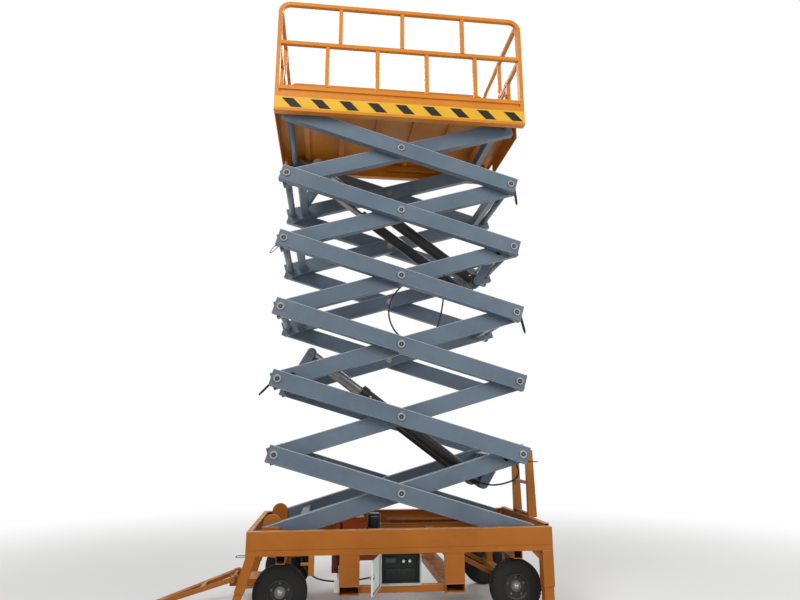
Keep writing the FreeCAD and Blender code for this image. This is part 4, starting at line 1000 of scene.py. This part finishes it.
# Under the near rail
def rail_hangings():
    """The valve block behind the rail, and the blank white tag on its strap."""
    block, plugs, tag = bmesh.new(), bmesh.new(), bmesh.new()
    place = MIDDLE + Vector((-0.565, -0.5, 0.445))
    add_box(block, (0.09, 0.07, 0.15), place, 0.006)
    add_box(block, (0.06, 0.23, 0.008), (place.x, MIDDLE.y - 0.585, RAIL_BOTTOM - 0.0042), 0.001)
    add_box(block, (0.06, 0.008, 0.045), (place.x, place.y - 0.02, RAIL_BOTTOM - 0.026), 0.001)
    finished("valve_block", block, "chassis", valve_red)
    for z in (-0.045, 0.0, 0.045):
        add_hex_bolt(plugs, place + Vector((0.0, -0.035, z)), (0, -1, 0), 0.016, 0.009)
    finished("valve_plugs", plugs, "chassis", pin_dark)
    add_box(tag, (0.05, 0.0012, 0.1), MIDDLE + Vector((-0.562, -0.7, 0.3)), 0.0005)
    strap = MIDDLE + Vector((-0.549, -0.7, 0.4))
    add_box(tag, (0.004, 0.0015, 0.115), strap, 0.0005, Matrix.Rotation(-0.02, 4, "Y"))
    add_box(tag, (0.01, 0.004, 0.008), strap + Vector((0.001, 0.0, 0.058)), 0.001)
    finished("blank_tag", tag, "chassis", switch_white)


rail_hangings()


# Chassis
def chassis_welds():
    """Weld beads where the hangers and sleeves meet the rails and the ladder meets its beam."""
    beads = bmesh.new()
    for low, high in solid_boxes("rail_posts"):
        if abs(high.z - RAIL_BOTTOM) < 0.002 and high.x - low.x < 0.18 and high.y - low.y > 0.03:
            add_square_seam(beads, low, high, RAIL_BOTTOM - 0.001, 0.004, -1)
    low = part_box("boarding_ladder")[0]
    for side in (1, -1):
        y1 = MIDDLE.y + side * 0.25
        y0 = y1 - side * 0.04
        foot = Vector((low.x, min(y0, y1), 0))
        head = Vector((low.x + 0.088, max(y0, y1), 0))
        add_square_seam(beads, foot, head, low.z + 0.001, 0.004, 1)
    finished("chassis_welds", beads, "chassis", weld_orange, 60)


chassis_welds()


# Platform
def hazard_band():
    """The yellow band along both sides of the platform's edge, with its slanted black bars."""
    low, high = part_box("platform_sides")
    band_bottom, band_top = low.z + 0.03, low.z + 0.155
    bar_bottom, bar_top = low.z + 0.04, low.z + 0.14
    left, right = low.x + 0.003, high.x - 0.003
    first, pitch, width, slant = MIDDLE.x - 1.226, 0.287, 0.115, 0.095
    band, bars = bmesh.new(), bmesh.new()
    for y, out in ((low.y, -1), (high.y, 1)):
        add_box(band, (right - left, 0.0006, band_top - band_bottom),
                ((left + right) / 2, y + out * 0.0003, (band_bottom + band_top) / 2))
        for k in range(9):
            x = first + k * pitch
            add_slab(bars, [(x, bar_top), (x + width, bar_top), (x + width + slant, bar_bottom),
                            (x + slant, bar_bottom)], y + out * 0.0007, y + out * 0.001)
    finished("hazard_band", band, "platform", stripe_yellow)
    finished("hazard_bars", bars, "platform", stripe_black)


def guard_welds():
    """Weld beads at both ends of the guard's short posts."""
    beads = bmesh.new()
    for low, high in solid_boxes("guard_posts"):
        if max(high.x - low.x, high.y - low.y) < 0.06:
            add_square_seam(beads, low, high, low.z + 0.001, 0.0035, 1)
            add_square_seam(beads, low, high, high.z - 0.001, 0.0035, -1)
    finished("guard_welds", beads, "platform", weld_orange, 60)


def deck_screws():
    """Rows of countersunk screws that hold the deck plate to its frame."""
    low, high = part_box("platform_deck")
    screws = bmesh.new()
    columns, rows, inset = 9, 5, 0.07
    for i in range(columns):
        for j in range(rows):
            if 0 < i < columns - 1 and 0 < j < rows - 1 and i % 2:
                continue
            x = low.x + inset + (high.x - low.x - 2 * inset) * i / (columns - 1)
            y = low.y + inset + (high.y - low.y - 2 * inset) * j / (rows - 1)
            add_turned(screws, mm(0, 9, 0.8, 8.5, 1.2, 6, 0.6, 4, 0.6, 0), (x, y, high.z), (0, 0, 1), 20)
    finished("deck_screws", screws, "platform", bolt_steel)


def gate_latch():
    """The sliding bolt on the gate's free edge."""
    low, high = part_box("platform_gate")
    z = (low.z + high.z) / 2
    bolt_x = high.x - 0.04
    edge = high.y
    steel = bmesh.new()
    add_box(steel, (0.004, 0.06, 0.05), (high.x - 0.032, edge - 0.036, z), 0.001)
    add_turned(steel, mm(0, 0, 0, 5, 1, 6, 90, 6, 92, 4, 92, 0), (bolt_x, edge - 0.09, z), (0, 1, 0), 16)
    for y in (0.024, 0.06):
        add_turned(steel, mm(0, 6.5, 0, 10, 12, 10, 12, 6.5), (bolt_x, edge - y, z), (0, 1, 0), 20)
    add_turned(steel, mm(0, 0, 0, 4, 30, 4, 32, 6, 40, 6, 42, 0), (bolt_x, edge - 0.075, z),
               (-0.8, 0, -0.6), 16)
    finished("gate_latch", steel, "platform_gate", bolt_steel)


hazard_band()
guard_welds()
deck_screws()
gate_latch()


# Surroundings
def seen_rays(tree):
    """1 for the camera's own, mirrored and transmitted rays, and 0 for the rest."""
    ray = tree.nodes.new("ShaderNodeLightPath").outputs
    seen = math_node(tree, "MAXIMUM", ray["Is Camera Ray"], ray["Is Glossy Ray"])
    return math_node(tree, "MAXIMUM", seen, ray["Is Transmission Ray"])


def floor_material():
    """A pale floor that fades to white where only the camera sees it."""
    material, tree, shader = new_material("studio_floor")
    fill(tree, shader, {"Base Color": (0.8, 0.8, 0.79, 1.0), "Roughness": 0.75})
    glow = tree.nodes.new("ShaderNodeEmission")
    reach = tree.nodes.new("ShaderNodeVectorMath")
    reach.operation = "LENGTH"
    fill(tree, reach, {0: object_coordinates(tree)})
    far = step_node(tree, reach.outputs["Value"], 3.0, 9.0)
    mix = fill(tree, tree.nodes.new("ShaderNodeMixShader"), {
        "Fac": product(tree, seen_rays(tree), far), 1: shader.outputs["BSDF"],
        2: glow.outputs["Emission"]})
    fill(tree, tree.nodes["Material Output"], {"Surface": mix.outputs["Shader"]})
    return material


def make_floor():
    mesh = bmesh.new()
    bmesh.ops.create_grid(mesh, x_segments=1, y_segments=1, size=60.0)
    data = bpy.data.meshes.new("studio_floor")
    mesh.to_mesh(data)
    mesh.free()
    data.materials.append(floor_material())
    floor = new_object("studio_floor", data)
    floor.location = (0.4, 0.0, -0.0005)


def make_world():
    """White where it is seen or mirrored, and a plain soft light elsewhere."""
    world = bpy.data.worlds.new("studio")
    bpy.context.scene.world = world
    world.use_nodes = True
    tree = world.node_tree
    fill(tree, tree.nodes["Background"], {"Color": (1.0, 1.0, 1.0, 1.0),
                                          "Strength": blended(tree, seen_rays(tree), 0.3, 1.0)})


def make_lamp(name, place, target, watts):
    lamp = bpy.data.lights.new(name, "AREA")
    lamp.energy = watts
    lamp.size = 5.0
    thing = new_object(name, lamp)
    thing.location = place
    thing.rotation_euler = (Vector(target) - Vector(place)).to_track_quat("-Z", "Y").to_euler()


def make_camera():
    """The photograph's viewpoint: near side, left of the middle, looking up."""
    data = bpy.data.cameras.new("view")
    data.sensor_width = 36.0
    data.lens = 26.79
    camera = new_object("view", data)
    camera.location = MIDDLE + Vector((-0.6822, -6.2542, 1.5444))
    camera.rotation_euler = (math.pi / 2 + 0.2269, 0.0, -0.1191)
    bpy.context.scene.camera = camera


make_floor()
make_world()
make_lamp("key_lamp", (-4.5, -7.0, 8.5), (0.4, 0, 2.6), 600)
make_lamp("fill_lamp", (6.5, -5.0, 4.0), (0.4, 0, 2.6), 250)
make_lamp("back_lamp", (1.5, 7.5, 8.0), (0.4, 0, 3.0), 420)
make_camera()
bpy.context.scene.view_settings.view_transform = "Standard"
